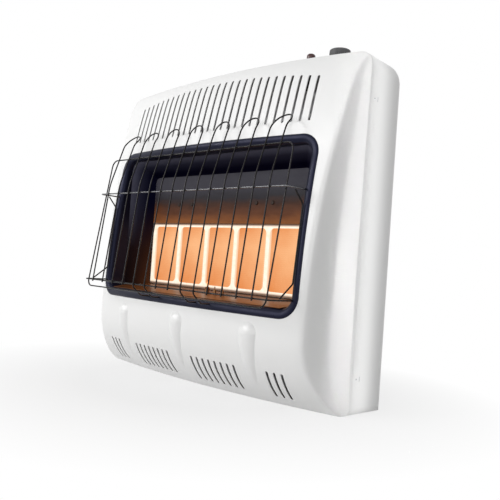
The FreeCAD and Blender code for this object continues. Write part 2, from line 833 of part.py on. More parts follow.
def plaque_frame():
    front = -dim.burner_face - dim.seat_gap - dim.frame_wall
    depth = burner_back + dim.seat_gap + dim.gasket_thickness - front
    corner = dim.frame_border
    block = prism(rounded_wire(frame_width, frame_low, frame_high, corner, front), depth)
    hollow = prism(rounded_wire(frame_width - 2 * dim.frame_wall, frame_low + dim.frame_wall,
                                frame_high - dim.frame_wall, corner - dim.frame_wall, front + dim.frame_wall), depth)
    openings = [prism(rounded_wire(dim.frame_opening_width, dim.burner_middle - dim.frame_opening_height / 2,
                                   dim.burner_middle + dim.frame_opening_height / 2, dim.frame_opening_radius,
                                   front - 1, x), depth) for x in plaque_centres()]
    return block.cut([hollow] + openings).Solids[0]


shaped("plaque_frame", plaque_frame())

gasket_front = burner_back + dim.seat_gap


def plaque_gasket():
    inset = dim.frame_wall + dim.seat_gap
    corner = dim.frame_border - inset
    block = prism(rounded_wire(frame_width - 2 * inset, frame_low + inset, frame_high - inset, corner,
                               gasket_front),
                  dim.gasket_thickness)
    margin = 2 * dim.frame_border
    openings = [prism(rounded_wire(dim.plaque_width - margin, dim.burner_middle - (dim.plaque_height - margin) / 2,
                                   dim.burner_middle + (dim.plaque_height - margin) / 2, corner, gasket_front - 1, x),
                      dim.gasket_thickness + 2) for x in plaque_centres()]
    return block.cut(openings).Solids[0]


shaped("plaque_gasket", plaque_gasket())

plenum_front = "plaque_thickness - burner_face + gasket_thickness + 2 * seat_gap"
plenum_width = "((plaque_count - 1) * plaque_pitch + plaque_width + 2 * frame_border)"
plenum_height = "(plaque_height + 2 * frame_border)"
plenum_block = box("plenum_block", plenum_width, "plenum_depth", plenum_height,
                   f"-{plenum_width} / 2", plenum_front,
                   f"burner_middle - {plenum_height} / 2")
plenum_hollow = box("plenum_hollow", f"{plenum_width} - 2 * plenum_wall", "plenum_depth",
                    f"{plenum_height} - 2 * plenum_wall", f"-{plenum_width} / 2 + plenum_wall",
                    f"{plenum_front} - plenum_wall", f"burner_middle - {plenum_height} / 2 + plenum_wall")
plenum_inlet = cylinder("plenum_inlet", "venturi_radius + seat_gap", "4 * plenum_wall",
                        f"{plenum_width} / 2 - 2 * plenum_wall", "venturi_depth", "burner_middle", facing_right)
plenum_openings = joined("plenum_openings", [plenum_hollow, plenum_inlet])
node("burner_plenum", cut("burner_plenum", plenum_block, plenum_openings))

venturi_start = f"{plenum_width} / 2 - plenum_wall - 12"
turned("venturi_tube", [
    ("venturi_radius - venturi_wall", "0"), ("venturi_radius", "0"), ("venturi_radius", "venturi_length"),
    ("venturi_radius + 6", "venturi_length + 14"),
    ("venturi_radius + 6 - venturi_wall", "venturi_length + 14"),
    ("venturi_radius - venturi_wall", "venturi_length")],
    venturi_start, "venturi_depth", "burner_middle", facing_right)

injector_start = f"{venturi_start} + venturi_length + 14 + injector_gap"
turned("injector", [
    ("0", "4"), ("1.6", "0"), ("4", "0"), ("4", "8"), ("9", "8"), ("9", "22"), ("0", "22")],
    injector_start, "venturi_depth", "burner_middle", facing_right)
injector_arm = box("injector_arm", "3", "casing_depth - sheet_wall - back_wall - 3 * seat_gap - venturi_depth + 14",
                   "30", f"{injector_start} + 9", "venturi_depth - 14", "burner_middle - 15")
injector_hole = cylinder("injector_hole", "9 + running_gap", "20", f"{injector_start} + 1", "venturi_depth",
                         "burner_middle", facing_right)
node("injector_bracket", cut("injector_bracket", injector_arm, injector_hole))


# Controls on the top deck

control_top = "cabinet_height + control_rise"
control_level = dim.cabinet_height + dim.control_rise


def control_housing():
    low_x = dim.button_x - dim.control_margin - dim.control_wall
    high_x = dim.knob_x + dim.control_margin + dim.knob_radius - dim.collar_radius
    low_y = dim.button_y - dim.control_margin
    high_y = dim.knob_y + dim.control_margin + dim.control_wall
    floor = dim.cabinet_height - dim.corner_radius
    corner = dim.collar_radius / 2

    def block(inset, top):
        solid = Part.makeBox(high_x - low_x - 2 * inset, high_y - low_y - 2 * inset, top - floor,
                             vector(low_x + inset, low_y + inset, floor))
        return solid.makeFillet(corner - inset, [edge for edge in solid.Edges
                                                 if abs(edge.tangentAt(edge.FirstParameter).z) > 0.9])
    housing = block(0, control_level)
    rim = [edge for edge in housing.Edges
           if all(abs(end.Point.z - control_level) < 1e-6 for end in edge.Vertexes)]
    housing = housing.makeChamfer(dim.control_wall / 2, rim)
    deck = prism(cabinet_wire(-dim.seat_gap, -deep), 2 * deep)
    holes = [control_hole(dim.knob_x, dim.knob_y, dim.boss_radius + boss_clearance / 2),
             control_hole(dim.button_x, dim.button_y, dim.igniter_radius + boss_clearance / 2)]
    return housing.cut([block(dim.control_wall, control_level - dim.control_wall), deck] + holes).Solids[0]


shaped("control_housing", control_housing())

valve_top = "(cabinet_height - valve_drop)"
boss_top = "(cabinet_height + control_rise + 3.5)"
valve_block = box("valve_block", "valve_width", "valve_depth", "valve_height", "knob_x - valve_width / 2",
                  "knob_y - valve_depth / 2", f"{valve_top} - valve_height")
valve_boss = cylinder("valve_boss", "boss_radius", f"{boss_top} - {valve_top}",
                      "knob_x", "knob_y", valve_top)
valve_cap = cylinder("valve_cap", "valve_depth / 2 - 4", "12", "knob_x - valve_width / 2 - 12", "knob_y",
                     f"{valve_top} - valve_height / 2", facing_right)
valve_outlet = cylinder("valve_outlet", "2 * tube_radius", "10", "knob_x + valve_width / 2", "knob_y - 10",
                        f"{valve_top} - 16", facing_right)
valve_inlet = cylinder("valve_inlet", "2 * tube_radius", "10", "knob_x + valve_width / 2", "knob_y + 12",
                       f"{valve_top} - valve_height + 14", facing_right)
valve_bore = cylinder("valve_bore", "plunger_radius + running_gap", f"{boss_top} - {valve_top} + 10",
                      "knob_x", "knob_y", f"{valve_top} - 4")
node("gas_valve", cut("gas_valve", joined("valve_forms", [valve_block, valve_boss, valve_cap, valve_outlet,
                                                         valve_inlet]), valve_bore))

nut_radius = "(boss_radius + 4.5)"
turned("valve_nut", [
    ("boss_radius + running_gap", "seat_gap"), (nut_radius, "seat_gap"), (nut_radius, "2.6"),
    ("boss_radius + 3.6", "3.2"), ("boss_radius + running_gap", "3.2")], "knob_x", "knob_y", control_top)

plunger_low = f"({valve_top} + 4)"
plunger_high = f"({boss_top} - 4)"
turned("valve_plunger", [
    ("0", "0"), ("plunger_radius", "0"), ("plunger_radius", f"{plunger_high} - {plunger_low}"),
    ("spindle_radius + running_gap", f"{plunger_high} - {plunger_low}"),
    ("spindle_radius + running_gap", "10"), ("0", "10")], "knob_x", "knob_y", plunger_low)

knob_low = f"({control_top} + knob_gap)"
turned("knob_spindle", [
    ("0", "0"), ("spindle_radius", "0"),
    ("spindle_radius", f"{knob_low} + knob_height - 3 - {plunger_low} - 10.3"),
    ("0", f"{knob_low} + knob_height - 3 - {plunger_low} - 10.3")],
    "knob_x", "knob_y", f"{plunger_low} + 10.3")


def control_knob():
    # fluted skirt, dished top, hub on the spindle
    body = document.addObject("PartDesign::Body", "control_knob")
    sketch = sketch_outline(body, "XZ_Plane", [
        ("spindle_radius + running_gap", "knob_hub_rise"), ("spindle_radius + 3.5", "knob_hub_rise"),
        ("spindle_radius + 3.5", "knob_recess"),
        ("knob_radius - 4", "knob_recess"), ("knob_radius - 2", "0"), ("knob_radius", "0"),
        ("knob_radius - 0.6", "knob_height - 1.6"), ("knob_radius - 2.2", "knob_height"),
        ("knob_radius - 6", "knob_height"), ("knob_radius - 7", "knob_height - 0.8"),
        ("0", "knob_height - 0.8"), ("0", "knob_height - 2.8"),
        ("spindle_radius + running_gap", "knob_height - 2.8")])
    revolution = body.newObject("PartDesign::Revolution", "knob_turning")
    revolution.Profile = sketch
    revolution.ReferenceAxis = (sketch, ["V_Axis"])
    revolution.Angle = 360
    document.recompute()
    flute = body.newObject("Sketcher::SketchObject", "knob_flute_outline")
    plane = next(feature for feature in body.Origin.OriginFeatures if feature.Role == "XY_Plane")
    flute.AttachmentSupport = (plane, [""])
    flute.MapMode = "FlatFace"
    flute.addGeometry(Part.Circle(vector(dim.knob_radius, 0, 0), axis_z, 1.0), False)
    for kind, place_on, text in (("Radius", (0,), "0.95"),
                                 ("DistanceX", (-1, 1, 0, 3), "knob_radius + 0.25"),
                                 ("DistanceY", (-1, 1, 0, 3), "0")):
        index = flute.addConstraint(Sketcher.Constraint(kind, *place_on, 1.0))
        flute.setExpression(f"Constraints[{index}]", formula(text))
    pocket = body.newObject("PartDesign::Pocket", "knob_flute")
    pocket.Profile = flute
    pocket.Type = "ThroughAll"
    pocket.Midplane = True
    document.recompute()
    pattern = body.newObject("PartDesign::PolarPattern", "knob_flutes")
    pattern.Originals = [pocket]
    pattern.Axis = (flute, ["N_Axis"])
    pattern.Angle = 360
    bind(pattern, Occurrences="knob_flutes")
    body.Tip = pattern
    return node("control_knob", place(body, "knob_x", "knob_y", knob_low))


control_knob()

collar_top = f"({control_top} + collar_height)"
igniter_low = f"({control_top} - igniter_drop)"
button_low = f"({collar_top} - button_radius - 6)"
button_travel = 7
turned("igniter_body", [
    ("0", "0"), ("4", "0"), ("4", "6"), ("igniter_radius", "10"),
    ("igniter_radius", "igniter_drop + seat_gap"),
    ("collar_radius", "igniter_drop + seat_gap"), ("collar_radius", "igniter_drop + collar_height - 1"),
    ("collar_radius - 1", "igniter_drop + collar_height"),
    ("button_radius + 2 * running_gap", "igniter_drop + collar_height"),
    ("button_radius + 2 * running_gap", f"{button_low} - {igniter_low} - {button_travel} - 1"),
    ("0", f"{button_low} - {igniter_low} - {button_travel} - 1")], "button_x", "button_y", igniter_low)
turned("igniter_nut", [
    ("igniter_radius + running_gap", "0"), ("igniter_radius + 4", "0"), ("igniter_radius + 4", "3"),
    ("igniter_radius + running_gap", "3")],
    "button_x", "button_y", f"{control_top} - control_wall - seat_gap - 3")
button_height = f"{collar_top} - {button_low} + button_stand"
turned("igniter_button", [
    ("0", "0"), ("button_radius", "0"), ("button_radius", f"{button_height} - 6"),
    ("button_radius * 0.92", f"{button_height} - 3"), ("button_radius * 0.7", f"{button_height} - 1"),
    ("button_radius * 0.4", f"{button_height} - 0.2"), ("0", button_height)],
    "button_x", "button_y", button_low)


# Gas line: regulator with its inlet, supply tube, burner tube, pilot tube

turned("regulator", [
    ("0", "0"), ("inlet_radius", "0"), ("inlet_radius", "10"), ("regulator_radius", "12"),
    ("regulator_radius", "30"), ("regulator_radius - 6", "36"), ("12", "36"), ("12", "46"), ("0", "46")],
    "regulator_x", "casing_depth - sheet_wall - inlet_thread - seat_gap - 46", "regulator_height",
    facing_back)
turned("inlet_fitting", [
    ("inlet_bore", "4"), ("inlet_bore", "inlet_thread + sheet_wall"),
    ("inlet_radius", "inlet_thread + sheet_wall"),
    ("inlet_radius", "0"), ("0", "0"), ("0", "4")],
    "regulator_x", "casing_depth - sheet_wall - inlet_thread", "regulator_height", facing_back)

valve_level = dim.cabinet_height - dim.valve_drop
valve_right = dim.knob_x + dim.valve_width / 2 + 10
regulator_middle = dim.casing_depth - dim.sheet_wall - dim.inlet_thread - dim.seat_gap - 46 + 21
side_lane = half_width - 30
tube_bend = 24.0


def supply_tube():
    low = dim.regulator_height + dim.regulator_radius + dim.seat_gap
    high = valve_level - dim.valve_height + 14
    y = dim.knob_y + 12
    return rod([vector(dim.regulator_x, regulator_middle, low), vector(dim.regulator_x, regulator_middle, low + 60),
                vector(side_lane, y, low + 110), vector(side_lane, y, high), vector(valve_right, y, high)],
               tube_bend, dim.tube_radius)


shaped("supply_tube", supply_tube())

injector_x = frame_width / 2 - dim.plenum_wall - 12 + dim.venturi_length + 14 + dim.injector_gap + 22


def burner_tube():
    high = valve_level - 16
    y = dim.knob_y - 10
    return rod([vector(valve_right, y, high), vector(side_lane, y, high),
                vector(side_lane, dim.venturi_depth, high - 120), vector(side_lane, dim.venturi_depth,
                                                                         dim.burner_middle),
                vector(injector_x + dim.seat_gap, dim.venturi_depth, dim.burner_middle)],
               tube_bend / 2, dim.tube_radius)


shaped("burner_tube", burner_tube())

# Pilot on the lower deck, with its tube and leads under the deck and up behind the burner

pilot_seat = deck_level(-dim.pilot_y) + dim.seat_gap
pilot_bracket_wall = 1.2
pilot_margin = 9.0
lane_depth = dim.casing_depth - 22
lane_drop = 30.0


def pilot_bracket():
    low = dim.pilot_x - pilot_margin
    length = 2 * dim.pilot_pitch + 2 * pilot_margin
    half = dim.pilot_radius + 2
    outline = [vector(low, -dim.pilot_y - half, deck_level(-dim.pilot_y - half) + dim.seat_gap),
               vector(low, -dim.pilot_y + half, deck_level(-dim.pilot_y + half) + dim.seat_gap)]
    outline += [point + vector(length, 0, 0) for point in reversed(outline)]
    base = Part.Face(Part.makePolygon(outline + outline[:1])).extrude(vector(0, 0, pilot_bracket_wall))
    holes = [Part.makeCylinder(dim.pilot_radius - 1, deep, vector(x, -dim.pilot_y, 0))
             for x in pilot_positions()]
    return base.cut(holes).Solids[0]


shaped("pilot_bracket", pilot_bracket())
pilot_formula = f"{pilot_seat + pilot_bracket_wall + 1:.3f}"
turned("pilot_burner", [
    ("0", "0"), ("pilot_radius", "0"), ("pilot_radius", "pilot_height - 5"),
    ("pilot_radius - 1", "pilot_height - 4"),
    ("pilot_radius + 1", "pilot_height - 3"), ("pilot_radius - 2", "pilot_height"), ("0", "pilot_height")],
    "pilot_x", "-pilot_y", pilot_formula)


def lead(x, entry, radius, lane, level):
    # from its entry below the controls, down behind the burner, forward and up through the deck
    return rod([entry, vector(entry.x, entry.y, entry.z - 40), vector(lane, lane_depth, entry.z - 90),
                vector(lane, lane_depth, level + lane_drop), vector(lane, 0, level),
                vector(x, -dim.pilot_y, level), vector(x, -dim.pilot_y, pilot_seat + 1.5)],
               10 + radius, radius)


valve_floor = valve_level - dim.valve_height - dim.seat_gap
pilot_x, electrode_x, couple_x = pilot_positions()
shaped("pilot_tube", lead(pilot_x, vector(dim.knob_x + 18, dim.knob_y, valve_floor), dim.pilot_tube_radius,
                          dim.knob_x + 14, 96))
shaped("thermocouple_lead", lead(couple_x, vector(dim.knob_x - 18, dim.knob_y, valve_floor), dim.lead_radius,
                                 dim.knob_x - 12, 120))
igniter_floor = dim.cabinet_height + dim.control_rise - dim.igniter_drop - dim.seat_gap
shaped("ignition_wire", lead(electrode_x, vector(dim.button_x, dim.button_y, igniter_floor), dim.lead_radius,
                             dim.button_x, 108))
for label, place_x in (("spark_electrode", "pilot_x + pilot_pitch"),
                       ("thermocouple", "pilot_x + 2 * pilot_pitch")):
    turned(label, [
        ("0", "0"), ("pilot_radius - 1.5", "0"), ("pilot_radius - 1.5", "6"), ("1.2", "7"),
        ("1.2", "pilot_height + 2"),
        ("0", "pilot_height + 2")], place_x, "-pilot_y", pilot_formula)


# Thermostat bulb clipped low on the right wall, with its capillary up to the valve

bulb_x = half_width - dim.sheet_wall - 12
bulb_y = dim.casing_depth - dim.back_bend - 6
bulb_radius = 4.0
bulb_low = 40.0
bulb_length = 70.0
clip_low = bulb_low + 28
clip_wall = 1.2
clip_height = 12.0
turned("thermostat_bulb", [
    ("0", "0"), (bulb_radius - 1.5, "0"), (bulb_radius, 2), (bulb_radius, bulb_length - 4),
    (1, bulb_length), (0, bulb_length)], bulb_x, bulb_y, bulb_low)
capillary_y = dim.knob_y + 17
shaped("capillary_tube", rod([
    vector(bulb_x, bulb_y, bulb_low + bulb_length + dim.seat_gap), vector(bulb_x, bulb_y, valve_floor - 60),
    vector(dim.knob_x + 24, capillary_y, valve_floor - 24),
    vector(dim.knob_x + 24, capillary_y, valve_floor)],
    12, 1.0))


def bulb_clip():
    outer = Part.makeCylinder(bulb_radius + clip_wall, clip_height, vector(bulb_x, bulb_y, clip_low))
    bore = Part.makeCylinder(bulb_radius + dim.running_gap, clip_height, vector(bulb_x, bulb_y, clip_low))
    foot_end = half_width - dim.sheet_wall - dim.seat_gap
    foot_y = bulb_y - bulb_radius - clip_wall
    foot = Part.makeBox(foot_end - bulb_x, clip_wall, clip_height, vector(bulb_x, foot_y, clip_low))
    pad = Part.makeBox(clip_wall, 2 * bulb_radius, clip_height,
                       vector(foot_end - clip_wall, foot_y, clip_low))
    return outer.fuse([foot, pad]).cut(bore).Solids[0]


shaped("bulb_clip", bulb_clip())


# Wire guard

wire_step = 2 * dim.wire_radius + dim.seat_gap
lean_length = math.hypot(1, dim.guard_lean)


def guard_plane(z, layer):
    # depth of a wire's centre in the leaning guard: layer 0 is the hairpins, each further layer lies behind
    front = -dim.guard_reach + dim.wire_radius / lean_length
    return front + dim.guard_lean * (z - dim.leg_foot) + layer * wire_step * lean_length


def panel_depth(x, z):
    # depth of the skin in the middle of the panel, away from its edges
    return bow(x) - crest_profile(z)


knee_bend = 160.0
shoulder_bend = 35.0
foot_bend = 12.0


def arch_depth(z):
    # depth of a leg's centre above its knee, where it leans back more
    return guard_plane(dim.arch_knee, 0) + dim.arch_lean * (z - dim.arch_knee)


def hairpin_wire(x):
    # two legs that arch back towards the panel at the top and close in a half round there
    loop_depth = panel_depth(x, dim.loop_top) - dim.loop_stand
    path = []
    bends = []
    for side in (-1, 1):
        leg = x + side * dim.leg_pitch / 2
        run = [vector(leg, guard_plane(dim.leg_foot, 0), dim.leg_foot)]
        run_bends = []
        if any(abs(leg - stand) < dim.wire_radius for stand in foot_legs()):
            end_depth = panel_depth(leg, foot_level) + lip_front + dim.lip_wall + 4
            knee = vector(leg, guard_plane(dim.lower_rail, 0) + 22, foot_level)
            run = [vector(leg, end_depth, foot_level), knee] + run
            run_bends = [foot_bend, foot_bend]
        run += [vector(leg, guard_plane(dim.arch_knee, 0), dim.arch_knee),
                vector(leg, arch_depth(dim.arch_shoulder), dim.arch_shoulder),
                vector(leg, loop_depth, dim.loop_top)]
        run_bends += [knee_bend, shoulder_bend, dim.leg_pitch / 2 - 0.5]
        path += run if side < 0 else run[::-1]
        bends += run_bends if side < 0 else run_bends[::-1]
    return rod(path, 0, dim.wire_radius, bends=bends)


for number in range(1, int(dim.hairpin_count) + 1):
    hairpin_x = (number - (dim.hairpin_count + 1) / 2) * 2 * dim.leg_pitch
    shaped(f"guard_hairpin_{number}", hairpin_wire(hairpin_x))


def rail(level, corner_x, bend):
    y = guard_plane(level, 1)
    end = panel_depth(rail_end_x, level) + lip_front + dim.lip_wall + 4
    return rod([vector(-rail_end_x, end, level), vector(-corner_x, y, level), vector(corner_x, y, level),
                vector(rail_end_x, end, level)], bend, dim.wire_radius)


shaped("guard_lower_rail", rail(dim.lower_rail, rail_end_x + 3, 12.0))
shaped("guard_upper_rail", rail(dim.upper_rail, rail_end_x - 1, 9.0))


def perimeter():
    low = (dim.guard_bottom, guard_plane(dim.guard_bottom, 2))
    high = (dim.guard_top, arch_depth(dim.guard_top) + wire_step * math.hypot(1, dim.arch_lean))
    corners = [vector(side * dim.guard_half_width, depth, level)
               for side, (level, depth) in ((-1, low), (1, low), (1, high), (-1, high))]
    return rod(corners, 16.0, dim.wire_radius, closed=True)


shaped("guard_perimeter", perimeter())


def side_clip(side):
    # keeper wire between the two rails' return legs
    def on_return(level, share, corner_x):
        start = vector(corner_x, guard_plane(level, 1), level)
        end = vector(rail_end_x, panel_depth(rail_end_x, level), level)
        return start + (end - start) * share
    upper = on_return(dim.upper_rail, 0.45, rail_end_x - 1) - axis_z * wire_step
    lower = on_return(dim.lower_rail, 0.4, rail_end_x + 3) + axis_z * wire_step
    standing = dim.lip_stand + 2 * dim.wire_radius + 4 * dim.seat_gap
    run = [vector(rail_end_x, panel_depth(rail_end_x, level) - standing, level)
           for level in (upper.z - 24, lower.z + 26)]
    points = [upper] + run + [lower]
    return rod([vector(side * point.x, point.y, point.z) for point in points], 8.0, dim.wire_radius)


shaped("guard_clip_left", side_clip(-1))
shaped("guard_clip_right", side_clip(1))


# Fasteners: side tabs of the front panel with their rivets, reflector screws, back panel screws

tab_x = half_width - dim.sheet_wall - dim.seat_gap - tab_wall


def panel_tabs():
    tabs = []
    for side, level in tab_levels():
        strip = Part.makeBox(tab_wall, dim.tab_depth + tab_wall / 2 + 2, 2 * tab_height,
                             vector(tab_x, -2, level - tab_height))
        hook = Part.makeBox(half_width - tab_x - dim.seat_gap, tab_wall, tab_height - 1,
                            vector(tab_x, dim.tab_depth - tab_wall / 2 + boss_clearance / 2,
                                   level - tab_height / 2 + 0.5))
        hole = Part.makeCylinder(rivet_radius, 4 * tab_wall,
                                 vector(tab_x - 2 * tab_wall, dim.tab_depth - rivet_offset, level), axis_x)
        tab = strip.common(behind_skin(dim.panel_wall + dim.seat_gap)).fuse(hook).cut(hole)
        tabs.append(tab if side > 0 else tab.mirror(vector(), axis_x))
    return Part.makeCompound([tab.Solids[0] for tab in tabs])


shaped("panel_tabs", panel_tabs())


def tab_rivets():
    rivets = []
    length = half_width - tab_x + tab_wall - dim.seat_gap
    for side, level in tab_levels():
        shank = Part.makeCylinder(rivet_radius - dim.running_gap, length,
                                  vector(tab_x - tab_wall, dim.tab_depth - rivet_offset, level), axis_x)
        rivets.append(shank if side > 0 else shank.mirror(vector(), axis_x))
    return Part.makeCompound([rivet.Solids[0] for rivet in rivets])


shaped("tab_rivets", tab_rivets())

reflector_screw_level = dim.liner_back_top - 66
reflector_screw_x = [side * (dim.plaque_pitch + offset) for side in (-1, 1) for offset in (9, 55)]
screw_head_height = 2.0


def reflector_screws():
    front = -dim.liner_back + dim.seat_gap
    heads = []
    for x in reflector_screw_x:
        head = Part.makeCylinder(dim.screw_head, screw_head_height, vector(x, front - screw_head_height,
                                                                          reflector_screw_level), axis_y)
        rim = [edge for edge in head.Edges if abs(edge.CenterOfMass.y - front + screw_head_height) < 1e-6]
        heads.append(head.makeFillet(screw_head_height / 2, rim))
    return Part.makeCompound([head.Solids[0] for head in heads])


shaped("reflector_screws", reflector_screws())


def back_screws():
    screws = []
    ring = (dim.back_flange + dim.back_bend) / 2
    for side in (-1, 1):
        for level in (ring, dim.cabinet_height / 2, arch_top(half_width) - ring):
            head = Part.makeCylinder(dim.screw_head, screw_head_height,
                                     vector(side * (half_width - ring), dim.casing_depth, level), axis_y)
            screws.append(head)
    return Part.makeCompound(screws)


shaped("back_screws", back_screws())

document.recompute()
for item in document.Objects:
    if "Invalid" in item.State or "Error" in item.State:
        raise ValueError(f"{item.Name} did not recompute: {item.State}")
os.makedirs("parts", exist_ok=True)
for item in nodes:
    if item.Shape.isNull() or not item.Shape.isValid() or not item.Shape.Solids:
        raise ValueError(f"{item.Label} has no valid solid")
for item in nodes:
    item.Shape.exportStep(f"parts/{item.Label}.step")
    print(f"{item.Label}: {len(item.Shape.Solids)} solid, {item.Shape.Volume / 1000:.1f} cm3")
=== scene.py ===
import bpy
import json
import math
from mathutils import Matrix, Vector
from mathutils.bvhtree import BVHTree

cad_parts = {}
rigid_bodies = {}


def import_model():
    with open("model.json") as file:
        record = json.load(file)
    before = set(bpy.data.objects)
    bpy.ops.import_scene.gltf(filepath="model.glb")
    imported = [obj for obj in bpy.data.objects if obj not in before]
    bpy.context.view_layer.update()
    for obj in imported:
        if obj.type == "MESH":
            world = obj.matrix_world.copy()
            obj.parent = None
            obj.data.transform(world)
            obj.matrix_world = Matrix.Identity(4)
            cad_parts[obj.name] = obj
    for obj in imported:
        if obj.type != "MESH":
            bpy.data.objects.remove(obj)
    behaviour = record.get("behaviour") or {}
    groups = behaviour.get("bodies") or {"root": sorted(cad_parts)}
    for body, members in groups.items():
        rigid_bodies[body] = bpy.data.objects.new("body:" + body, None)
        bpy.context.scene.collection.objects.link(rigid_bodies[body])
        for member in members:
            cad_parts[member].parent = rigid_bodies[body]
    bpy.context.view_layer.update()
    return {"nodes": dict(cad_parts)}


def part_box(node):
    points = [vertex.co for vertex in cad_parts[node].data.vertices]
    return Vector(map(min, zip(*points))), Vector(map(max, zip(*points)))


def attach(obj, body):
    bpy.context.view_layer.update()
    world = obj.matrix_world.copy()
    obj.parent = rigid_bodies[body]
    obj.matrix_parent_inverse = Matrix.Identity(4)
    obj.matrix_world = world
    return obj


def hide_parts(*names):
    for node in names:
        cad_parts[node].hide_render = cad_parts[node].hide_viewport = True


# Wall gas heater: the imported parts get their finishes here, and the small pieces are modelled on them
for thing in list(bpy.data.objects):
    bpy.data.objects.remove(thing)
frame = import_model()
cadNodes = frame["nodes"]
scene = bpy.context.scene
print("frame loaded:", len(cadNodes), "parts")

noiseSpan = (0.3, 0.7)  # where most of a noise lies
black = (0.0, 0.0, 0.0)


# node helpers
def addNode(tree, kind, values=None, **settings):
    made = tree.nodes.new(kind)
    for key, value in settings.items():
        setattr(made, key, value)
    for key, value in (values or {}).items():
        made.inputs[key].default_value = value
    return made


def newFinish(name, colour, **sockets):
    # sockets are named with _ for each space
    finish = bpy.data.materials.new(name)
    finish.use_nodes = True
    tree = finish.node_tree
    shader = tree.nodes["Principled BSDF"]
    shader.inputs["Base Color"].default_value = (*colour, 1)
    for key, value in sockets.items():
        shader.inputs[key.replace("_", " ")].default_value = value
    return finish, tree, shader


def objectPoint(tree, scale=(1, 1, 1)):
    coords = addNode(tree, "ShaderNodeTexCoord")
    mapping = addNode(tree, "ShaderNodeMapping", {"Scale": scale})
    tree.links.new(coords.outputs["Object"], mapping.inputs["Vector"])
    return mapping.outputs["Vector"]


def axisValue(tree, axis):
    parts = addNode(tree, "ShaderNodeSeparateXYZ")
    tree.links.new(objectPoint(tree), parts.inputs["Vector"])
    return parts.outputs[axis]


def addNoise(tree, point, scale, detail=3.0, rough=0.5):
    noise = addNode(tree, "ShaderNodeTexNoise", {"Scale": scale, "Detail": detail, "Roughness": rough})
    tree.links.new(point, noise.inputs["Vector"])
    return noise.outputs["Fac"]


def addRamp(tree, factor, stops):
    ramp = addNode(tree, "ShaderNodeValToRGB")
    while len(ramp.color_ramp.elements) < len(stops):
        ramp.color_ramp.elements.new(0.5)
    for element, (place, colour) in zip(ramp.color_ramp.elements, stops):
        element.position = place
        element.color = (colour, colour, colour, 1) if isinstance(colour, float) else (*colour, 1)
    tree.links.new(factor, ramp.inputs["Fac"])
    return ramp.outputs["Color"]


def addRange(tree, value, low, high, outLow=0.0, outHigh=1.0):
    ranged = addNode(tree, "ShaderNodeMapRange", {"From Min": low, "From Max": high,
                                                  "To Min": outLow, "To Max": outHigh})
    tree.links.new(value, ranged.inputs["Value"])
    return ranged.outputs["Result"]


def addMath(tree, operation, first, second=None):
    made = addNode(tree, "ShaderNodeMath", operation=operation)
    for socket, value in zip(made.inputs, (first, second)):
        if isinstance(value, (int, float)):
            socket.default_value = value
        elif value is not None:
            tree.links.new(value, socket)
    return made.outputs["Value"]


def addMix(tree, factor, first, second):
    mix = addNode(tree, "ShaderNodeMix", data_type="RGBA")
    for socket, value in ((mix.inputs["Factor"], factor), (mix.inputs[6], first), (mix.inputs[7], second)):
        if isinstance(value, tuple):
            socket.default_value = (*value, 1)
        else:
            tree.links.new(value, socket)
    return mix.outputs[2]


def distanceFrom(tree, value, middle):
    return addMath(tree, "ABSOLUTE", addMath(tree, "SUBTRACT", value, middle))


def addBump(tree, shader, height, strength, distance):
    bump = addNode(tree, "ShaderNodeBump", {"Strength": strength, "Distance": distance})
    tree.links.new(height, bump.inputs["Height"])
    tree.links.new(bump.outputs["Normal"], shader.inputs["Normal"])


def linkColour(tree, shader, colour):
    tree.links.new(colour, shader.inputs["Base Color"])


def linkGlow(tree, shader, colour, strength):
    tree.links.new(colour, shader.inputs["Emission Color"])
    shader.inputs["Emission Strength"].default_value = strength


def linkRough(tree, shader, pattern, low, high):
    tree.links.new(addRange(tree, pattern, *noiseSpan, low, high), shader.inputs["Roughness"])


# enamels
enamelSet = {"low": (0.80, 0.80, 0.795), "high": (0.83, 0.83, 0.825), "rough": (0.31, 0.37),
             "coat": 0.2, "coatRough": 0.15, "clouds": 5.0, "haze": 24.0, "peel": 620.0,
             "bump": (0.06, 0.0003)}


def makeEnamel():
    finish, tree, shader = newFinish("whiteEnamel", enamelSet["high"], Coat_Weight=enamelSet["coat"],
                                     Coat_Roughness=enamelSet["coatRough"])
    point = objectPoint(tree)
    clouds = addNoise(tree, point, enamelSet["clouds"], 4)
    linkColour(tree, shader, addMix(tree, clouds, enamelSet["low"], enamelSet["high"]))
    linkRough(tree, shader, addNoise(tree, point, enamelSet["haze"]), *enamelSet["rough"])
    addBump(tree, shader, addNoise(tree, point, enamelSet["peel"], 2), *enamelSet["bump"])
    return finish


navySet = {"deep": (0.005, 0.0055, 0.014), "pale": (0.010, 0.011, 0.025), "tint": (0.62, 0.64, 1.0, 1),
           "gloss": 0.18, "rough": (0.26, 0.4), "clouds": 9.0, "haze": 40.0, "peel": 520.0,
           "bump": (0.15, 0.0004)}


def makeNavy():
    finish, tree, shader = newFinish("navyEnamel", navySet["deep"], Specular_IOR_Level=navySet["gloss"],
                                     Specular_Tint=navySet["tint"])
    point = objectPoint(tree)
    clouds = addNoise(tree, point, navySet["clouds"], 5)
    linkColour(tree, shader, addMix(tree, clouds, navySet["deep"], navySet["pale"]))
    linkRough(tree, shader, addNoise(tree, point, navySet["haze"], 4), *navySet["rough"])
    addBump(tree, shader, addNoise(tree, point, navySet["peel"], 2), *navySet["bump"])
    return finish


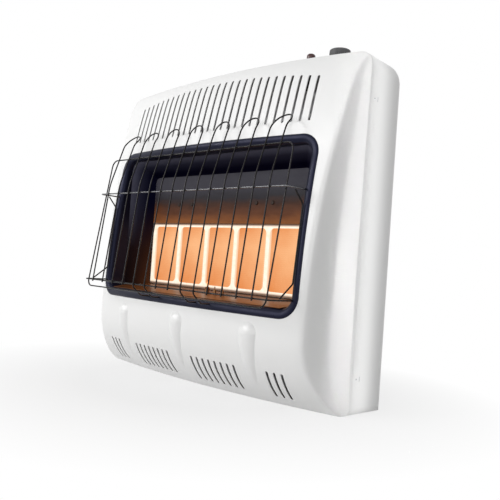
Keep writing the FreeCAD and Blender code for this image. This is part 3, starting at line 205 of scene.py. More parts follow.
# metals: grain stretches the pattern along an axis, scale sets its fineness
metalSet = {
    "turnedBrass": {"low": (0.52, 0.36, 0.12), "high": (0.74, 0.56, 0.25), "rough": 0.28,
                    "grain": (1, 1, 8), "scale": 60.0},
    "castAluminium": {"low": (0.52, 0.52, 0.53), "high": (0.70, 0.70, 0.71), "rough": 0.4,
                      "grain": (1, 1, 1), "scale": 110.0},
    "platedSteel": {"low": (0.52, 0.52, 0.54), "high": (0.72, 0.72, 0.74), "rough": 0.24,
                    "grain": (1, 1, 6), "scale": 60.0},
    "guardWire": {"low": (0.012, 0.011, 0.011), "high": (0.028, 0.027, 0.028), "rough": 0.22,
                  "grain": (1, 1, 1), "scale": 140.0},
    # the upper rail is the guard wire made lighter: a painted glint along it
    "railPaintedGlint": {"low": (0.09, 0.09, 0.095), "high": (0.19, 0.19, 0.20), "rough": 0.25,
                  "grain": (1, 1, 1), "scale": 140.0},
    "sootedSteel": {"low": (0.022, 0.016, 0.014), "high": (0.045, 0.034, 0.03), "rough": 0.5,
                    "grain": (1, 1, 1), "scale": 200.0},
    "bronzedSteel": {"low": (0.16, 0.075, 0.03), "high": (0.34, 0.18, 0.085), "rough": 0.35,
                     "grain": (1, 1, 1), "scale": 160.0},
}
metalGrain = {"detail": 6, "break": 0.6, "roughShare": (0.75, 1.3), "fineShare": 6, "bump": (0.1, 0.0003)}


def makeMetal(name):
    values = metalSet[name]
    finish, tree, shader = newFinish(name, values["high"], Metallic=1.0)
    point = objectPoint(tree, values["grain"])
    grains = addNoise(tree, point, values["scale"], metalGrain["detail"], metalGrain["break"])
    linkColour(tree, shader, addMix(tree, grains, values["low"], values["high"]))
    linkRough(tree, shader, grains, *(values["rough"] * share for share in metalGrain["roughShare"]))
    fine = addNoise(tree, point, values["scale"] * metalGrain["fineShare"])
    addBump(tree, shader, fine, *metalGrain["bump"])
    return finish


zincSet = {"low": (0.56, 0.57, 0.58), "high": (0.63, 0.64, 0.65), "rough": (0.38, 0.5), "spangle": 210.0,
           "grain": 300.0, "bump": (0.12, 0.0004)}


def makeZinc():
    finish, tree, shader = newFinish("zincSheet", zincSet["high"], Metallic=1.0)
    point = objectPoint(tree)
    spangle = addNode(tree, "ShaderNodeTexVoronoi", {"Scale": zincSet["spangle"]})
    tree.links.new(point, spangle.inputs["Vector"])
    flakes = addNode(tree, "ShaderNodeSeparateColor")
    tree.links.new(spangle.outputs["Color"], flakes.inputs["Color"])
    linkColour(tree, shader, addMix(tree, flakes.outputs["Red"], zincSet["low"], zincSet["high"]))
    dullness = addRange(tree, flakes.outputs["Green"], 0, 1, *zincSet["rough"])
    tree.links.new(dullness, shader.inputs["Roughness"])
    addBump(tree, shader, addNoise(tree, point, zincSet["grain"], 4), *zincSet["bump"])
    return finish


# plastics, rubber, fibre and dial paint
plasticSet = {
    "pressedFibre": {"low": (0.72, 0.69, 0.62), "high": (0.84, 0.82, 0.77), "rough": 0.9, "grain": 300.0},
    "blackPlastic": {"low": (0.018, 0.018, 0.020), "high": (0.035, 0.035, 0.038), "rough": 0.42,
                     "grain": 900.0},
    "redPlastic": {"low": (0.035, 0.004, 0.004), "high": (0.06, 0.006, 0.006), "rough": 0.22,
                   "grain": 900.0},
    "leadRubber": {"low": (0.02, 0.018, 0.018), "high": (0.04, 0.036, 0.035), "rough": 0.6, "grain": 900.0},
    "dialPaint": {"low": (0.78, 0.78, 0.76), "high": (0.86, 0.86, 0.84), "rough": 0.5, "grain": 900.0},
}
plasticSkin = {"clouds": 30.0, "haze": 120.0, "roughShare": (0.85, 1.15), "bump": (0.2, 0.0003)}


def makePlastic(name):
    values = plasticSet[name]
    finish, tree, shader = newFinish(name, values["high"])
    point = objectPoint(tree)
    clouds = addNoise(tree, point, plasticSkin["clouds"], 4)
    linkColour(tree, shader, addMix(tree, clouds, values["low"], values["high"]))
    haze = addNoise(tree, point, plasticSkin["haze"])
    linkRough(tree, shader, haze, *(values["rough"] * share for share in plasticSkin["roughShare"]))
    addBump(tree, shader, addNoise(tree, point, values["grain"], 2), *plasticSkin["bump"])
    return finish


# fired and glowing finishes, in the heater's own heights; the glow on the reflector and the liner is painted
# burner light
burnerLow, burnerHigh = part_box("plaque_frame")
burnerMiddle = (burnerLow + burnerHigh) / 2
reflectorLow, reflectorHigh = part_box("upper_reflector")
linerLow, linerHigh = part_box("firebox_liner")

ceramicSet = {
    "ash": (0.12, 0.05, 0.02), "deep": (0.74, 0.23, 0.055), "bright": (0.94, 0.50, 0.24),
    "pale": (1.0, 0.82, 0.62), "glow": 0.92, "rough": 0.85, "pitch": 0.095, "count": 5,
    "lift": ((0.0, 0.0), (0.35, 0.3), (0.65, 0.55), (0.85, 0.3), (1.0, 0.05)),  # heat from foot to top
    "side": (0.1, 0.95, -0.15, 0.3),  # each plaque is paler on its right
    "ribs": (0.395, 0.45, 0.0, 0.9),  # pale strip beside each rib
    "mottle": 22.0, "mottleHeat": 0.5, "heatSpan": (0.1, 0.95), "grain": 800.0, "bump": (0.3, 0.0005),
}


def makeCeramic():
    finish, tree, shader = newFinish("hotCeramic", ceramicSet["ash"], Roughness=ceramicSet["rough"])
    point = objectPoint(tree)
    mottle = addNoise(tree, point, ceramicSet["mottle"], 4, 0.6)
    rise = addRange(tree, axisValue(tree, "Z"), burnerLow.z, burnerHigh.z)
    lift = addRamp(tree, rise, ceramicSet["lift"])
    start = burnerMiddle.x - ceramicSet["pitch"] * ceramicSet["count"] / 2
    travel = addMath(tree, "SUBTRACT", axisValue(tree, "X"), start)
    across = addMath(tree, "FRACT", addMath(tree, "DIVIDE", travel, ceramicSet["pitch"]))
    side = addRange(tree, across, *ceramicSet["side"])
    spots = addRange(tree, mottle, 0, 1, 0, ceramicSet["mottleHeat"])
    heat = addMath(tree, "ADD", addMath(tree, "ADD", spots, lift), side)
    heat = addRange(tree, heat, *ceramicSet["heatSpan"])
    glow = addMix(tree, heat, ceramicSet["deep"], ceramicSet["bright"])
    ribs = addRange(tree, distanceFrom(tree, across, 0.5), *ceramicSet["ribs"])
    linkGlow(tree, shader, addMix(tree, ribs, glow, ceramicSet["pale"]), ceramicSet["glow"])
    addBump(tree, shader, addNoise(tree, point, ceramicSet["grain"]), *ceramicSet["bump"])
    return finish


# edge is a dark line along the frame's top and bottom rims: a painted shadow gap against the parts beside it
frameSet = {"steel": (0.2, 0.13, 0.09), "rough": 0.6, "metallic": 0.4, "white": (1.0, 0.93, 0.82),
            "warm": (1.0, 0.80, 0.60), "edge": (0.045, 0.016, 0.006), "glow": 0.97,
            "rim": (0.0065, 0.0025), "mottle": 120.0, "bump": (0.2, 0.0004)}


def makeHotFrame():
    finish, tree, shader = newFinish("hotFrame", frameSet["steel"], Roughness=frameSet["rough"],
                                     Metallic=frameSet["metallic"])
    half = (burnerHigh.z - burnerLow.z) / 2
    away = distanceFrom(tree, axisValue(tree, "Z"), burnerMiddle.z)
    # the top and bottom rims get the painted shadow gap
    rim = addRange(tree, away, *(half - inset for inset in frameSet["rim"]))
    mottle = addNoise(tree, objectPoint(tree), frameSet["mottle"], 4)
    warm = addMix(tree, addRange(tree, mottle, *noiseSpan), frameSet["white"], frameSet["warm"])
    linkGlow(tree, shader, addMix(tree, rim, warm, frameSet["edge"]), frameSet["glow"])
    addBump(tree, shader, mottle, *frameSet["bump"])
    return finish


# the reflector's emission is painted light from the burner below, strongest at its foot and fading upwards;
# its brown and soot colours are stains
reflectorSet = {
    "steel": (0.042, 0.040, 0.052), "soot": (0.010, 0.007, 0.007), "brown": (0.016, 0.006, 0.003),
    "glow": (0.34, 0.11, 0.024), "paintedGlowMid": (0.15, 0.045, 0.012), "paintedGlowStrength": 0.6, "gloss": 0.1,
    "sootLevel": 0.38, "steelLevel": 0.7, "paintedGlowMidLevel": 0.2, "paintedGlowEnd": 0.5, "rough": (0.35, 0.55),
    "scale": 26.0, "stretch": (1, 1, 3), "wander": 0.12, "grain": 260.0, "bump": (0.15, 0.0004),
}


def makeReflector():
    finish, tree, shader = newFinish("firedSteelWithPaintedGlow", reflectorSet["steel"],
                                     Specular_IOR_Level=reflectorSet["gloss"])
    scale = addNoise(tree, objectPoint(tree, reflectorSet["stretch"]), reflectorSet["scale"], 5)
    height = addRange(tree, axisValue(tree, "Z"), reflectorLow.z, reflectorHigh.z)
    wander = addRange(tree, scale, 0, 1, -reflectorSet["wander"], reflectorSet["wander"])
    stainAndPaintedGlow = addMath(tree, "ADD", height, wander)
    colours = [(0.0, reflectorSet["brown"]), (reflectorSet["sootLevel"], reflectorSet["soot"]),
               (reflectorSet["steelLevel"], reflectorSet["steel"])]
    linkColour(tree, shader, addRamp(tree, stainAndPaintedGlow, colours))
    # painted burner light, from orange at the foot to nothing higher up
    glows = [(0.0, reflectorSet["glow"]), (reflectorSet["paintedGlowMidLevel"], reflectorSet["paintedGlowMid"]),
             (reflectorSet["paintedGlowEnd"], black)]
    linkGlow(tree, shader, addRamp(tree, stainAndPaintedGlow, glows), reflectorSet["paintedGlowStrength"])
    linkRough(tree, shader, scale, *reflectorSet["rough"])
    addBump(tree, shader, addNoise(tree, objectPoint(tree), reflectorSet["grain"], 4), *reflectorSet["bump"])
    return finish


deckSet = {"brown": (0.17, 0.062, 0.018), "dark": (0.07, 0.024, 0.008), "blue": (0.05, 0.026, 0.022),
           "levels": (0.25, 0.5, 0.75), "metallic": 0.3, "gloss": 0.15, "rough": (0.26, 0.44),
           "stretch": (1, 2, 1), "stains": 12.0, "break": 0.62, "grain": 240.0, "bump": (0.12, 0.0004)}


def makeDeck():
    finish, tree, shader = newFinish("heatTint", deckSet["brown"], Metallic=deckSet["metallic"],
                                     Specular_IOR_Level=deckSet["gloss"])
    point = objectPoint(tree, deckSet["stretch"])
    stains = addNoise(tree, point, deckSet["stains"], 6, deckSet["break"])
    colours = [deckSet[key] for key in ("dark", "brown", "blue")]
    linkColour(tree, shader, addRamp(tree, stains, list(zip(deckSet["levels"], colours))))
    linkRough(tree, shader, stains, *deckSet["rough"])
    addBump(tree, shader, addNoise(tree, point, deckSet["grain"], 4), *deckSet["bump"])
    return finish


# the liner's colour runs from its front edge to the back: a painted highlight near the edge and painted
# shade deeper in, over its navy; its glow is painted light from the burner, and soot is a stain
linerSet = {
    "edge": (0.085, 0.085, 0.12), "navy": (0.016, 0.016, 0.03), "deep": (0.0004, 0.0003, 0.006),
    "levels": (0.0, 0.35, 0.75), "soot": (0.010, 0.004, 0.002), "sootSpan": (0.1, 0.6), "sootAbove": 0.06,
    "glow": (0.10, 0.028, 0.006), "paintedGlowStrength": 0.5, "paintedGlowFall": 2.0, "tint": (0.5, 0.52, 1.0, 1),
    "gloss": 0.03, "rough": (0.28, 0.5), "haze": 18.0, "peel": 420.0, "bump": (0.15, 0.0004),
}


def makeLiner():
    finish, tree, shader = newFinish("linerEnamelWithPaintedLight", linerSet["navy"], Specular_IOR_Level=linerSet["gloss"],
                                     Specular_Tint=linerSet["tint"])
    depth = addRange(tree, axisValue(tree, "Y"), linerLow.y, linerHigh.y)
    heat = addRange(tree, axisValue(tree, "Z"), burnerLow.z, burnerHigh.z + linerSet["sootAbove"], 1.0, 0.0)
    # lighter at the front edge, darker deeper in: painted highlight and painted shade over the navy
    colours = [linerSet[key] for key in ("edge", "navy", "deep")]
    navyWithPaintedShade = addRamp(tree, depth, list(zip(linerSet["levels"], colours)))
    sooted = addRange(tree, heat, *linerSet["sootSpan"])
    linkColour(tree, shader, addMix(tree, sooted, navyWithPaintedShade, linerSet["soot"]))
    # painted burner light, strongest low down and deep in
    nearness = addMath(tree, "POWER", addMath(tree, "MULTIPLY", depth, heat), linerSet["paintedGlowFall"])
    linkGlow(tree, shader, addMix(tree, nearness, black, linerSet["glow"]), linerSet["paintedGlowStrength"])
    linkRough(tree, shader, addNoise(tree, objectPoint(tree), linerSet["haze"], 5), *linerSet["rough"])
    addBump(tree, shader, addNoise(tree, objectPoint(tree), linerSet["peel"], 2), *linerSet["bump"])
    return finish


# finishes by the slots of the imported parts, and the few parts that have their own
finishes = {
    "white_enamel": makeEnamel(),
    "black_enamel": makeNavy(),
    "dark_steel": makeReflector(),
    "heat_tinted_steel": makeDeck(),
    "galvanised": makeZinc(),
    "ceramic": makeCeramic(),
    "hot_steel": makeHotFrame(),
    "fibre": makePlastic("pressedFibre"),
    "brass": makeMetal("turnedBrass"),
    "aluminium": makeMetal("castAluminium"),
    "bright_steel": makeMetal("platedSteel"),
    "black_plastic": makePlastic("blackPlastic"),
    "red_plastic": makePlastic("redPlastic"),
    "lead_rubber": makePlastic("leadRubber"),
    "guard_wire": makeMetal("guardWire"),
}
bronzedSteel = makeMetal("bronzedSteel")
ownFinishes = {
    "firebox_liner": makeLiner(),
    # the upper rail's lighter wire is a painted glint
    "guard_upper_rail": makeMetal("railPaintedGlint"),
    "reflector_screws": makeMetal("sootedSteel"),
    "spark_electrode": bronzedSteel,
    "thermocouple": bronzedSteel,
    "pilot_burner": bronzedSteel,
}
for name, part in cadNodes.items():
    given = part.data.materials[0].name.split(".")[0] if part.data.materials else "galvanised"
    part.data.materials.clear()
    part.data.materials.append(ownFinishes.get(name, finishes[given]))
print("finishes given to", len(cadNodes), "parts")


# modelling helpers
def clearSelection():
    if bpy.context.object and bpy.context.object.mode != "OBJECT":
        bpy.ops.object.mode_set(mode="OBJECT")
    bpy.ops.object.select_all(action="DESELECT")


def selectOnly(pieces):
    clearSelection()
    for piece in pieces:
        piece.select_set(True)
    bpy.context.view_layer.objects.active = pieces[0]


def applyPlace():
    bpy.ops.object.transform_apply(location=True, rotation=True, scale=True)


def selectFaces(piece, test):
    # picks faces by place or normal; starts and ends in edit mode
    bpy.ops.object.mode_set(mode="EDIT")
    bpy.ops.mesh.select_mode(type="FACE")
    bpy.ops.mesh.select_all(action="DESELECT")
    bpy.ops.object.mode_set(mode="OBJECT")
    for face in piece.data.polygons:
        face.select = test(face)
    bpy.ops.object.mode_set(mode="EDIT")


def spreadCopies(piece, places):
    # the piece goes to the first place, and copies with their own meshes go to the others
    copies = []
    for place in places[1:]:
        selectOnly([piece])
        bpy.ops.object.duplicate(linked=False)
        bpy.context.object.location = place
        copies.append(bpy.context.object)
    piece.location = places[0]
    return [piece, *copies]


def joinPieces(pieces):
    selectOnly(pieces)
    bpy.ops.object.join()
    return bpy.context.object


def settle(piece, name, body, slot, finish=None):
    # place goes into the mesh, then the piece gets its name, finish and carrier
    selectOnly([piece])
    applyPlace()
    piece.name = name
    piece.data.name = name
    piece.data.materials.clear()
    piece.data.materials.append(finish or finishes[slot])
    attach(piece, body)


blockSet = {"edge": 0.3, "segments": 2}  # softened edges, as a share of the thinnest side


def addBlock(size, place=(0, 0, 0)):
    clearSelection()
    bpy.ops.mesh.primitive_cube_add(size=1, location=place)
    block = bpy.context.object
    block.scale = size
    applyPlace()
    edges = block.modifiers.new("edges", "BEVEL")
    edges.width = min(size) * blockSet["edge"]
    edges.segments = blockSet["segments"]
    bpy.ops.object.modifier_apply(modifier=edges.name)
    return block


# ceramic plaques with their rows of burner holes
plaqueSet = {"columns": 23, "rows": 33, "rim": 0.0006, "holeDepth": 0.0022, "faceShare": 0.1, "facing": -0.9}


def makePlaque():
    low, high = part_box("burner_plaque_1")
    size = high - low
    middle = (low + high) / 2
    clearSelection()
    bpy.ops.mesh.primitive_grid_add(x_subdivisions=plaqueSet["columns"], y_subdivisions=plaqueSet["rows"],
                                    size=1, location=(middle.x, low.y, middle.z),
                                    rotation=(math.pi / 2, 0, 0))
    plaque = bpy.context.object
    plaque.scale = (size.x, size.z, 1)
    applyPlace()
    bpy.ops.object.mode_set(mode="EDIT")
    bpy.ops.mesh.select_all(action="SELECT")
    bpy.ops.mesh.extrude_region_move(TRANSFORM_OT_translate={"value": (0, size.y, 0)})
    bpy.ops.mesh.dissolve_faces()
    bpy.ops.mesh.select_all(action="SELECT")
    bpy.ops.mesh.normals_make_consistent(inside=False)
    # each cell of the front becomes a burner hole
    behind = low.y + size.y * plaqueSet["faceShare"]
    selectFaces(plaque, lambda face: face.center.y < behind and face.normal.y < plaqueSet["facing"])
    bpy.ops.mesh.inset(thickness=plaqueSet["rim"], use_individual=True, use_boundary=True)
    bpy.ops.transform.translate(value=(0, plaqueSet["holeDepth"], 0))
    bpy.ops.object.mode_set(mode="OBJECT")
    return plaque


plaqueCorners = [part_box(f"burner_plaque_{number}")[0] for number in range(1, ceramicSet["count"] + 1)]
plaques = spreadCopies(makePlaque(), [corner - plaqueCorners[0] for corner in plaqueCorners])
for number, plaque in enumerate(plaques, 1):
    settle(plaque, f"perforated_plaque_{number}", "cabinet", "ceramic")
    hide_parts(f"burner_plaque_{number}")
print("plaques:", len(plaques))


# window surround with a rolled edge: its section of insets and rises laps the panel, goes over the crest
# and ends in the collar round the firebox
surroundSet = {
    "stations": 264, "overlap": 0.009, "radius": 0.038, "cornerShare": 0.35, "sheet": 0.0012,
    "samples": (0.004, 0.0125), "collarGap": 0.0003, "merge": 0.00002, "smooth": 40.0,
    "section": ((-0.0038, -0.0006), (-0.0036, 0.0001), (-0.003, 0.0008), (-0.0015, 0.0014),
                (0.0005, 0.0017), (0.0028, 0.0016), (0.0056, 0.0010), (0.0085, -0.0003),
                (0.0112, -0.0023), (0.0133, -0.0051), (0.0145, -0.0086), (0.015, -0.0130)),
}
surroundLow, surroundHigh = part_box("window_surround")


def windowPoint(share, inset):
    # walks round the window's rounded outline, drawn in by the inset
    low, high = surroundLow, surroundHigh
    middle = (low + high) / 2
    radius = surroundSet["radius"] - inset
    drawn = surroundSet["overlap"] + inset + radius
    side = int(share * 4) % 4
    quarter = share * 4 % 1
    cornerShare = surroundSet["cornerShare"]
    turned = min(quarter / cornerShare, 1)
    along = max(quarter - cornerShare, 0) / (1 - cornerShare)
    angle = (side + turned) * math.pi / 2
    corners = ((1, 1), (-1, 1), (-1, -1), (1, -1), (1, 1))
    fromX, fromZ = corners[side]
    toX, toZ = corners[side + 1]
    flatX, flatZ = (high.x - low.x) / 2 - drawn, (high.z - low.z) / 2 - drawn
    x = middle.x + flatX * (fromX + (toX - fromX) * along) + radius * math.cos(angle)
    z = middle.z + flatZ * (fromZ + (toZ - fromZ) * along) + radius * math.sin(angle)
    return x, z


def surroundFront():
    # depth of the surround's face and its slope inwards, at each station
    part = cadNodes["window_surround"]
    corners = [part.matrix_world @ vertex.co for vertex in part.data.vertices]
    tree = BVHTree.FromPolygons(corners, [list(face.vertices) for face in part.data.polygons])
    near, far = surroundSet["samples"]
    front = []
    for step in range(surroundSet["stations"] + 1):
        depths = []
        for inset in (near, far):
            x, z = windowPoint(step / surroundSet["stations"], inset)
            depths.append(tree.ray_cast(Vector((x, -1, z)), Vector((0, 1, 0)))[0].y)
        front.append((depths[0], (depths[1] - depths[0]) / (far - near)))
    return front


def makeSurround():
    section = surroundSet["section"]
    stations = surroundSet["stations"]
    front = surroundFront()
    collarEnd = linerLow.y - surroundSet["collarGap"]
    clearSelection()
    bpy.ops.mesh.primitive_grid_add(x_subdivisions=stations, y_subdivisions=len(section), size=2)
    roll = bpy.context.object
    for vertex in roll.data.vertices:
        station = round((vertex.co.x + 1) / 2 * stations)
        step = round((vertex.co.y + 1) / 2 * len(section))
        inset, rise = section[min(step, len(section) - 1)]
        nearDepth, slope = front[station]
        depth = nearDepth + slope * (inset - surroundSet["samples"][0]) - rise
        x, z = windowPoint(station / stations, inset)
        vertex.co = (x, collarEnd if step == len(section) else depth, z)
    bpy.ops.object.mode_set(mode="EDIT")
    bpy.ops.mesh.select_all(action="SELECT")
    bpy.ops.mesh.remove_doubles(threshold=surroundSet["merge"])
    bpy.ops.mesh.normals_make_consistent(inside=False)
    bpy.ops.object.mode_set(mode="OBJECT")
    foremost = min(roll.data.polygons, key=lambda face: face.center.y)
    if foremost.normal.y > 0:
        bpy.ops.object.mode_set(mode="EDIT")
        bpy.ops.mesh.flip_normals()
        bpy.ops.object.mode_set(mode="OBJECT")
    solid = roll.modifiers.new("sheet", "SOLIDIFY")
    solid.thickness = surroundSet["sheet"]
    solid.offset = -1
    bpy.ops.object.modifier_apply(modifier=solid.name)
    bpy.ops.object.shade_smooth_by_angle(angle=math.radians(surroundSet["smooth"]))
    settle(roll, "rolled_surround", "cabinet", "black_enamel")
    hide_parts("window_surround")


makeSurround()
print("surround rolled")


# weld nuggets where the guard's legs cross its rails
nuggetSet = {"size": (0.0021, 0.0012, 0.0021), "flat": 0.55, "segments": 12, "rings": 8, "smooth": 60.0,
             "hairpins": 7, "wire": 0.0015, "proud": 0.0001}


def makeNugget():
    clearSelection()
    bpy.ops.mesh.primitive_uv_sphere_add(segments=nuggetSet["segments"], ring_count=nuggetSet["rings"],
                                         radius=1)
    nugget = bpy.context.object
    bpy.ops.object.mode_set(mode="EDIT")
    bpy.ops.mesh.select_all(action="SELECT")
    bpy.ops.mesh.bisect(plane_co=(0, nuggetSet["flat"], 0), plane_no=(0, 1, 0),
                        use_fill=True, clear_outer=True)
    bpy.ops.object.mode_set(mode="OBJECT")
    nugget.scale = nuggetSet["size"]
    applyPlace()
    bpy.ops.object.shade_smooth_by_angle(angle=math.radians(nuggetSet["smooth"]))
    return nugget


def guardCrossings():
    rails = [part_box(name) for name in ("guard_lower_rail", "guard_upper_rail")]
    places = []
    for number in range(1, nuggetSet["hairpins"] + 1):
        legLow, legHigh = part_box(f"guard_hairpin_{number}")
        for x in (legLow.x + nuggetSet["wire"], legHigh.x - nuggetSet["wire"]):
            for low, high in rails:
                places.append((x, low.y - nuggetSet["proud"], (low.z + high.z) / 2))
    return places


nuggets = spreadCopies(makeNugget(), guardCrossings())
print("weld nuggets:", len(nuggets))
settle(joinPieces(nuggets), "weld_nuggets", "cabinet", "guard_wire")


# pilot flame over the pilot burner
flameSet = {"radius": 0.0036, "height": 0.013, "segments": 24, "rings": 16, "rough": 0.5, "glow": 1.1,
            "core": (1.0, 0.72, 0.42), "edge": (0.85, 0.30, 0.10)}


def makeFlame():
    low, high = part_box("pilot_burner")
    clearSelection()
    bpy.ops.mesh.primitive_uv_sphere_add(segments=flameSet["segments"], ring_count=flameSet["rings"],
                                         radius=1)
    flame = bpy.context.object
    for vertex in flame.data.vertices:
        lift = (vertex.co.z + 1) / 2
        taper = 1 - lift ** 2
        vertex.co = (vertex.co.x * taper, vertex.co.y * taper, lift)
    flame.scale = (flameSet["radius"], flameSet["radius"], flameSet["height"])
    flame.location = ((low.x + high.x) / 2, (low.y + high.y) / 2, high.z)
    bpy.ops.object.shade_smooth()
    finish, tree, shader = newFinish("pilotFlame", flameSet["edge"], Roughness=flameSet["rough"])
    lift = addRange(tree, axisValue(tree, "Z"), high.z, high.z + flameSet["height"])
    linkGlow(tree, shader, addMix(tree, lift, flameSet["core"], flameSet["edge"]), flameSet["glow"])
    settle(flame, "pilot_flame", "cabinet", "hot_steel", finish)


makeFlame()
print("pilot lit")


# knob pointer and the dial round it
dialSet = {
    "marks": ("OFF", "PILOT", "1", "2", "3", "4", "5"), "first": 90.0, "step": -45.0, "radius": 0.0262,
    "textSize": 0.0038, "wordShare": 0.62, "textHeight": 0.0001, "tick": (0.0008, 0.0026, 0.0002),
    "tickInset": 0.0028, "pointer": (0.0016, 0.012, 0.0008), "pointerReach": 0.62, "pointerSunk": 0.0008,
}
dialPaint = makePlastic("dialPaint")
knobLow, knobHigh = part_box("control_knob")
knobMiddle = (knobLow + knobHigh) / 2


def makePointer():
    reach = dialSet["pointer"][1] * dialSet["pointerReach"]
    place = (knobMiddle.x, knobMiddle.y + reach, knobHigh.z - dialSet["pointerSunk"])
    settle(addBlock(dialSet["pointer"], place), "knob_pointer", "knob", "black_plastic", dialPaint)


def makeWord(word, place):
    clearSelection()
    bpy.ops.object.text_add(location=place)
    text = bpy.context.object
    text.data.body = word
    text.data.size = dialSet["textSize"] * (1 if len(word) == 1 else dialSet["wordShare"])
    text.data.align_x = "CENTER"
    text.data.align_y = "CENTER"
    text.data.extrude = dialSet["textHeight"]
    bpy.ops.object.convert(target="MESH")
    return bpy.context.object


def makeDial():
    centre = Vector((knobMiddle.x, knobMiddle.y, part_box("control_housing")[1].z))
    steps = range(len(dialSet["marks"]))
    angles = [math.radians(dialSet["first"] + step * dialSet["step"]) for step in steps]
    ways = [Vector((math.cos(angle), math.sin(angle), 0)) for angle in angles]
    tickRadius = dialSet["radius"] - dialSet["tickInset"]
    ticks = spreadCopies(addBlock(dialSet["tick"]), [centre + way * tickRadius for way in ways])
    for tick, angle in zip(ticks, angles):
        tick.rotation_euler.z = angle - math.pi / 2
    words = [makeWord(word, centre + way * dialSet["radius"]) for word, way in zip(dialSet["marks"], ways)]
    settle(joinPieces(ticks + words), "dial_marks", "cabinet", "black_plastic", dialPaint)


makePointer()
makeDial()
print("dial marked")


# dark crosses on the heads of the back screws, which stand in two columns of three: painted shade in place
# of their cross recesses
recessSet = {"length": 0.0044, "width": 0.0009, "depth": 0.0008, "proud": 0.00005, "head": 0.0045}


def makeRecesses():
    low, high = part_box("back_screws")
    head = recessSet["head"]
    length, width, depth = (recessSet[key] for key in ("length", "width", "depth"))
    y = high.y + recessSet["proud"] - depth / 2
    levels = (low.z + head, (low.z + high.z) / 2, high.z - head)
    places = [(x, y, z) for x in (low.x + head, high.x - head) for z in levels]
    # a black cross set into each head: painted shade for the recess
    cross = joinPieces([addBlock((length, depth, width)), addBlock((width, depth, length))])
    settle(joinPieces(spreadCopies(cross, places)), "back_recess_shade", "cabinet", "black_plastic")


makeRecesses()
print("screw heads recessed")


# floor and surroundings: white to the camera, with a faint shadow close to the heater
floorSet = {"reach": 7.0, "drop": 0.0005, "colour": (0.70, 0.70, 0.70, 1), "shadowSpan": (0.25, 0.65),
            "shadowShare": 0.3}
worldSet = {"ambient": 0.40, "seen": 1.0}
pureWhite = (1, 1, 1, 1)


def cameraShare(tree):
    # 1 for what the camera, a gloss or a glass sees, 0 for the light that falls on the object
    path = addNode(tree, "ShaderNodeLightPath")
    seen = addMath(tree, "MAXIMUM", path.outputs["Is Camera Ray"], path.outputs["Is Glossy Ray"])
    return addMath(tree, "MAXIMUM", seen, path.outputs["Is Transmission Ray"])


def makeFloor():
    clearSelection()
    bpy.ops.mesh.primitive_plane_add(size=2 * floorSet["reach"], location=(0, 0, -floorSet["drop"]))
    floor = bpy.context.object
    floor.name = "studio_floor"
    finish = bpy.data.materials.new("paleFloor")
    finish.use_nodes = True
    tree = finish.node_tree
    tree.nodes.remove(tree.nodes["Principled BSDF"])
    matt = addNode(tree, "ShaderNodeBsdfDiffuse", {"Color": floorSet["colour"]})
    white = addNode(tree, "ShaderNodeEmission", {"Color": pureWhite, "Strength": worldSet["seen"]})
    mix = addNode(tree, "ShaderNodeMixShader")
    reach = addNode(tree, "ShaderNodeVectorMath", operation="LENGTH")
    tree.links.new(objectPoint(tree), reach.inputs[0])
    fade = addRange(tree, reach.outputs["Value"], *floorSet["shadowSpan"], floorSet["shadowShare"], 0.0)
    whiteness = addMath(tree, "MULTIPLY", cameraShare(tree), addMath(tree, "SUBTRACT", 1.0, fade))
    tree.links.new(whiteness, mix.inputs["Fac"])
    tree.links.new(matt.outputs["BSDF"], mix.inputs[1])
    tree.links.new(white.outputs["Emission"], mix.inputs[2])
    tree.links.new(mix.outputs["Shader"], tree.nodes["Material Output"].inputs["Surface"])
    floor.data.materials.append(finish)


def makeWorld():
    world = bpy.data.worlds.new("studioWorld")
    world.use_nodes = True
    scene.world = world
    tree = world.node_tree
    background = tree.nodes["Background"]
    background.inputs["Color"].default_value = pureWhite
    strength = addRange(tree, cameraShare(tree), 0, 1, worldSet["ambient"], worldSet["seen"])
    tree.links.new(strength, background.inputs["Strength"])


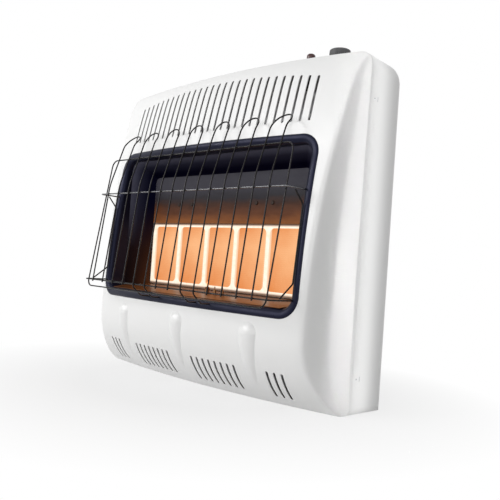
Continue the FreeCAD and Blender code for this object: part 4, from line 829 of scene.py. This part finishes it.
# soft key, fill and a small glint for the wires; two strips light the right flank and side
lampSet = {
    "keyLamp": {"place": (-1.1, -2.6, 1.4), "aim": (0, 0, 0.35), "power": 42.0, "size": (1.6, 1.6),
                "spread": 180},
    "glintLamp": {"place": (-2.05, -1.75, 1.35), "aim": (0, 0, 0.35), "power": 10.0, "size": (0.4, 0.4),
                  "spread": 180},
    "fillLamp": {"place": (1.7, -2.3, 0.8), "aim": (0, 0, 0.35), "power": 15.0, "size": (2.0, 2.0),
                 "spread": 180},
    "flankLamp": {"place": (1.08, -0.51, 0.36), "aim": (0.357, 0.004, 0.36), "power": 0.036,
                  "size": (0.04, 0.9), "spread": 5},
    "sideLamp": {"place": (1.5, 0.06, 0.42), "aim": (0.3685, 0.05, 0.41), "power": 0.078,
                 "size": (0.04, 0.84), "spread": 5},
}


def makeLamp(name):
    values = lampSet[name]
    lamp = bpy.data.lights.new(name, "AREA")
    lamp.shape = "RECTANGLE"
    lamp.size, lamp.size_y = values["size"]
    lamp.energy = values["power"]
    lamp.spread = math.radians(values["spread"])
    holder = bpy.data.objects.new(name, lamp)
    scene.collection.objects.link(holder)
    holder.location = values["place"]
    holder.rotation_mode = "QUATERNION"
    aimed = Vector(values["aim"]) - Vector(values["place"])
    holder.rotation_quaternion = aimed.to_track_quat("-Z", "Y")
    holder.visible_camera = False


cameraSet = {"place": (1.072775, -0.953797, 0.258568), "azimuth": 45.281, "elevation": -1.305,
             "roll": 4.048, "lens": 47.74, "sensor": 36, "near": 0.01}


def makeCamera():
    turn, rise, roll = (math.radians(cameraSet[key]) for key in ("azimuth", "elevation", "roll"))
    back = Vector((math.sin(turn) * math.cos(rise), -math.cos(turn) * math.cos(rise), math.sin(rise)))
    right = (-back).cross(Vector((0, 0, 1))).normalized()
    up = right.cross(-back)
    across = right * math.cos(roll) + up * math.sin(roll)
    upward = up * math.cos(roll) - right * math.sin(roll)
    view = bpy.data.cameras.new("photoCamera")
    view.lens = cameraSet["lens"]
    view.sensor_width = cameraSet["sensor"]
    view.clip_start = cameraSet["near"]
    holder = bpy.data.objects.new("photoCamera", view)
    scene.collection.objects.link(holder)
    turned = Matrix((across, upward, back)).transposed().to_4x4()
    holder.matrix_world = Matrix.Translation(Vector(cameraSet["place"])) @ turned
    scene.camera = holder


makeFloor()
makeWorld()
for lampName in lampSet:
    makeLamp(lampName)
makeCamera()
scene.view_settings.view_transform = "Standard"
print("studio set")
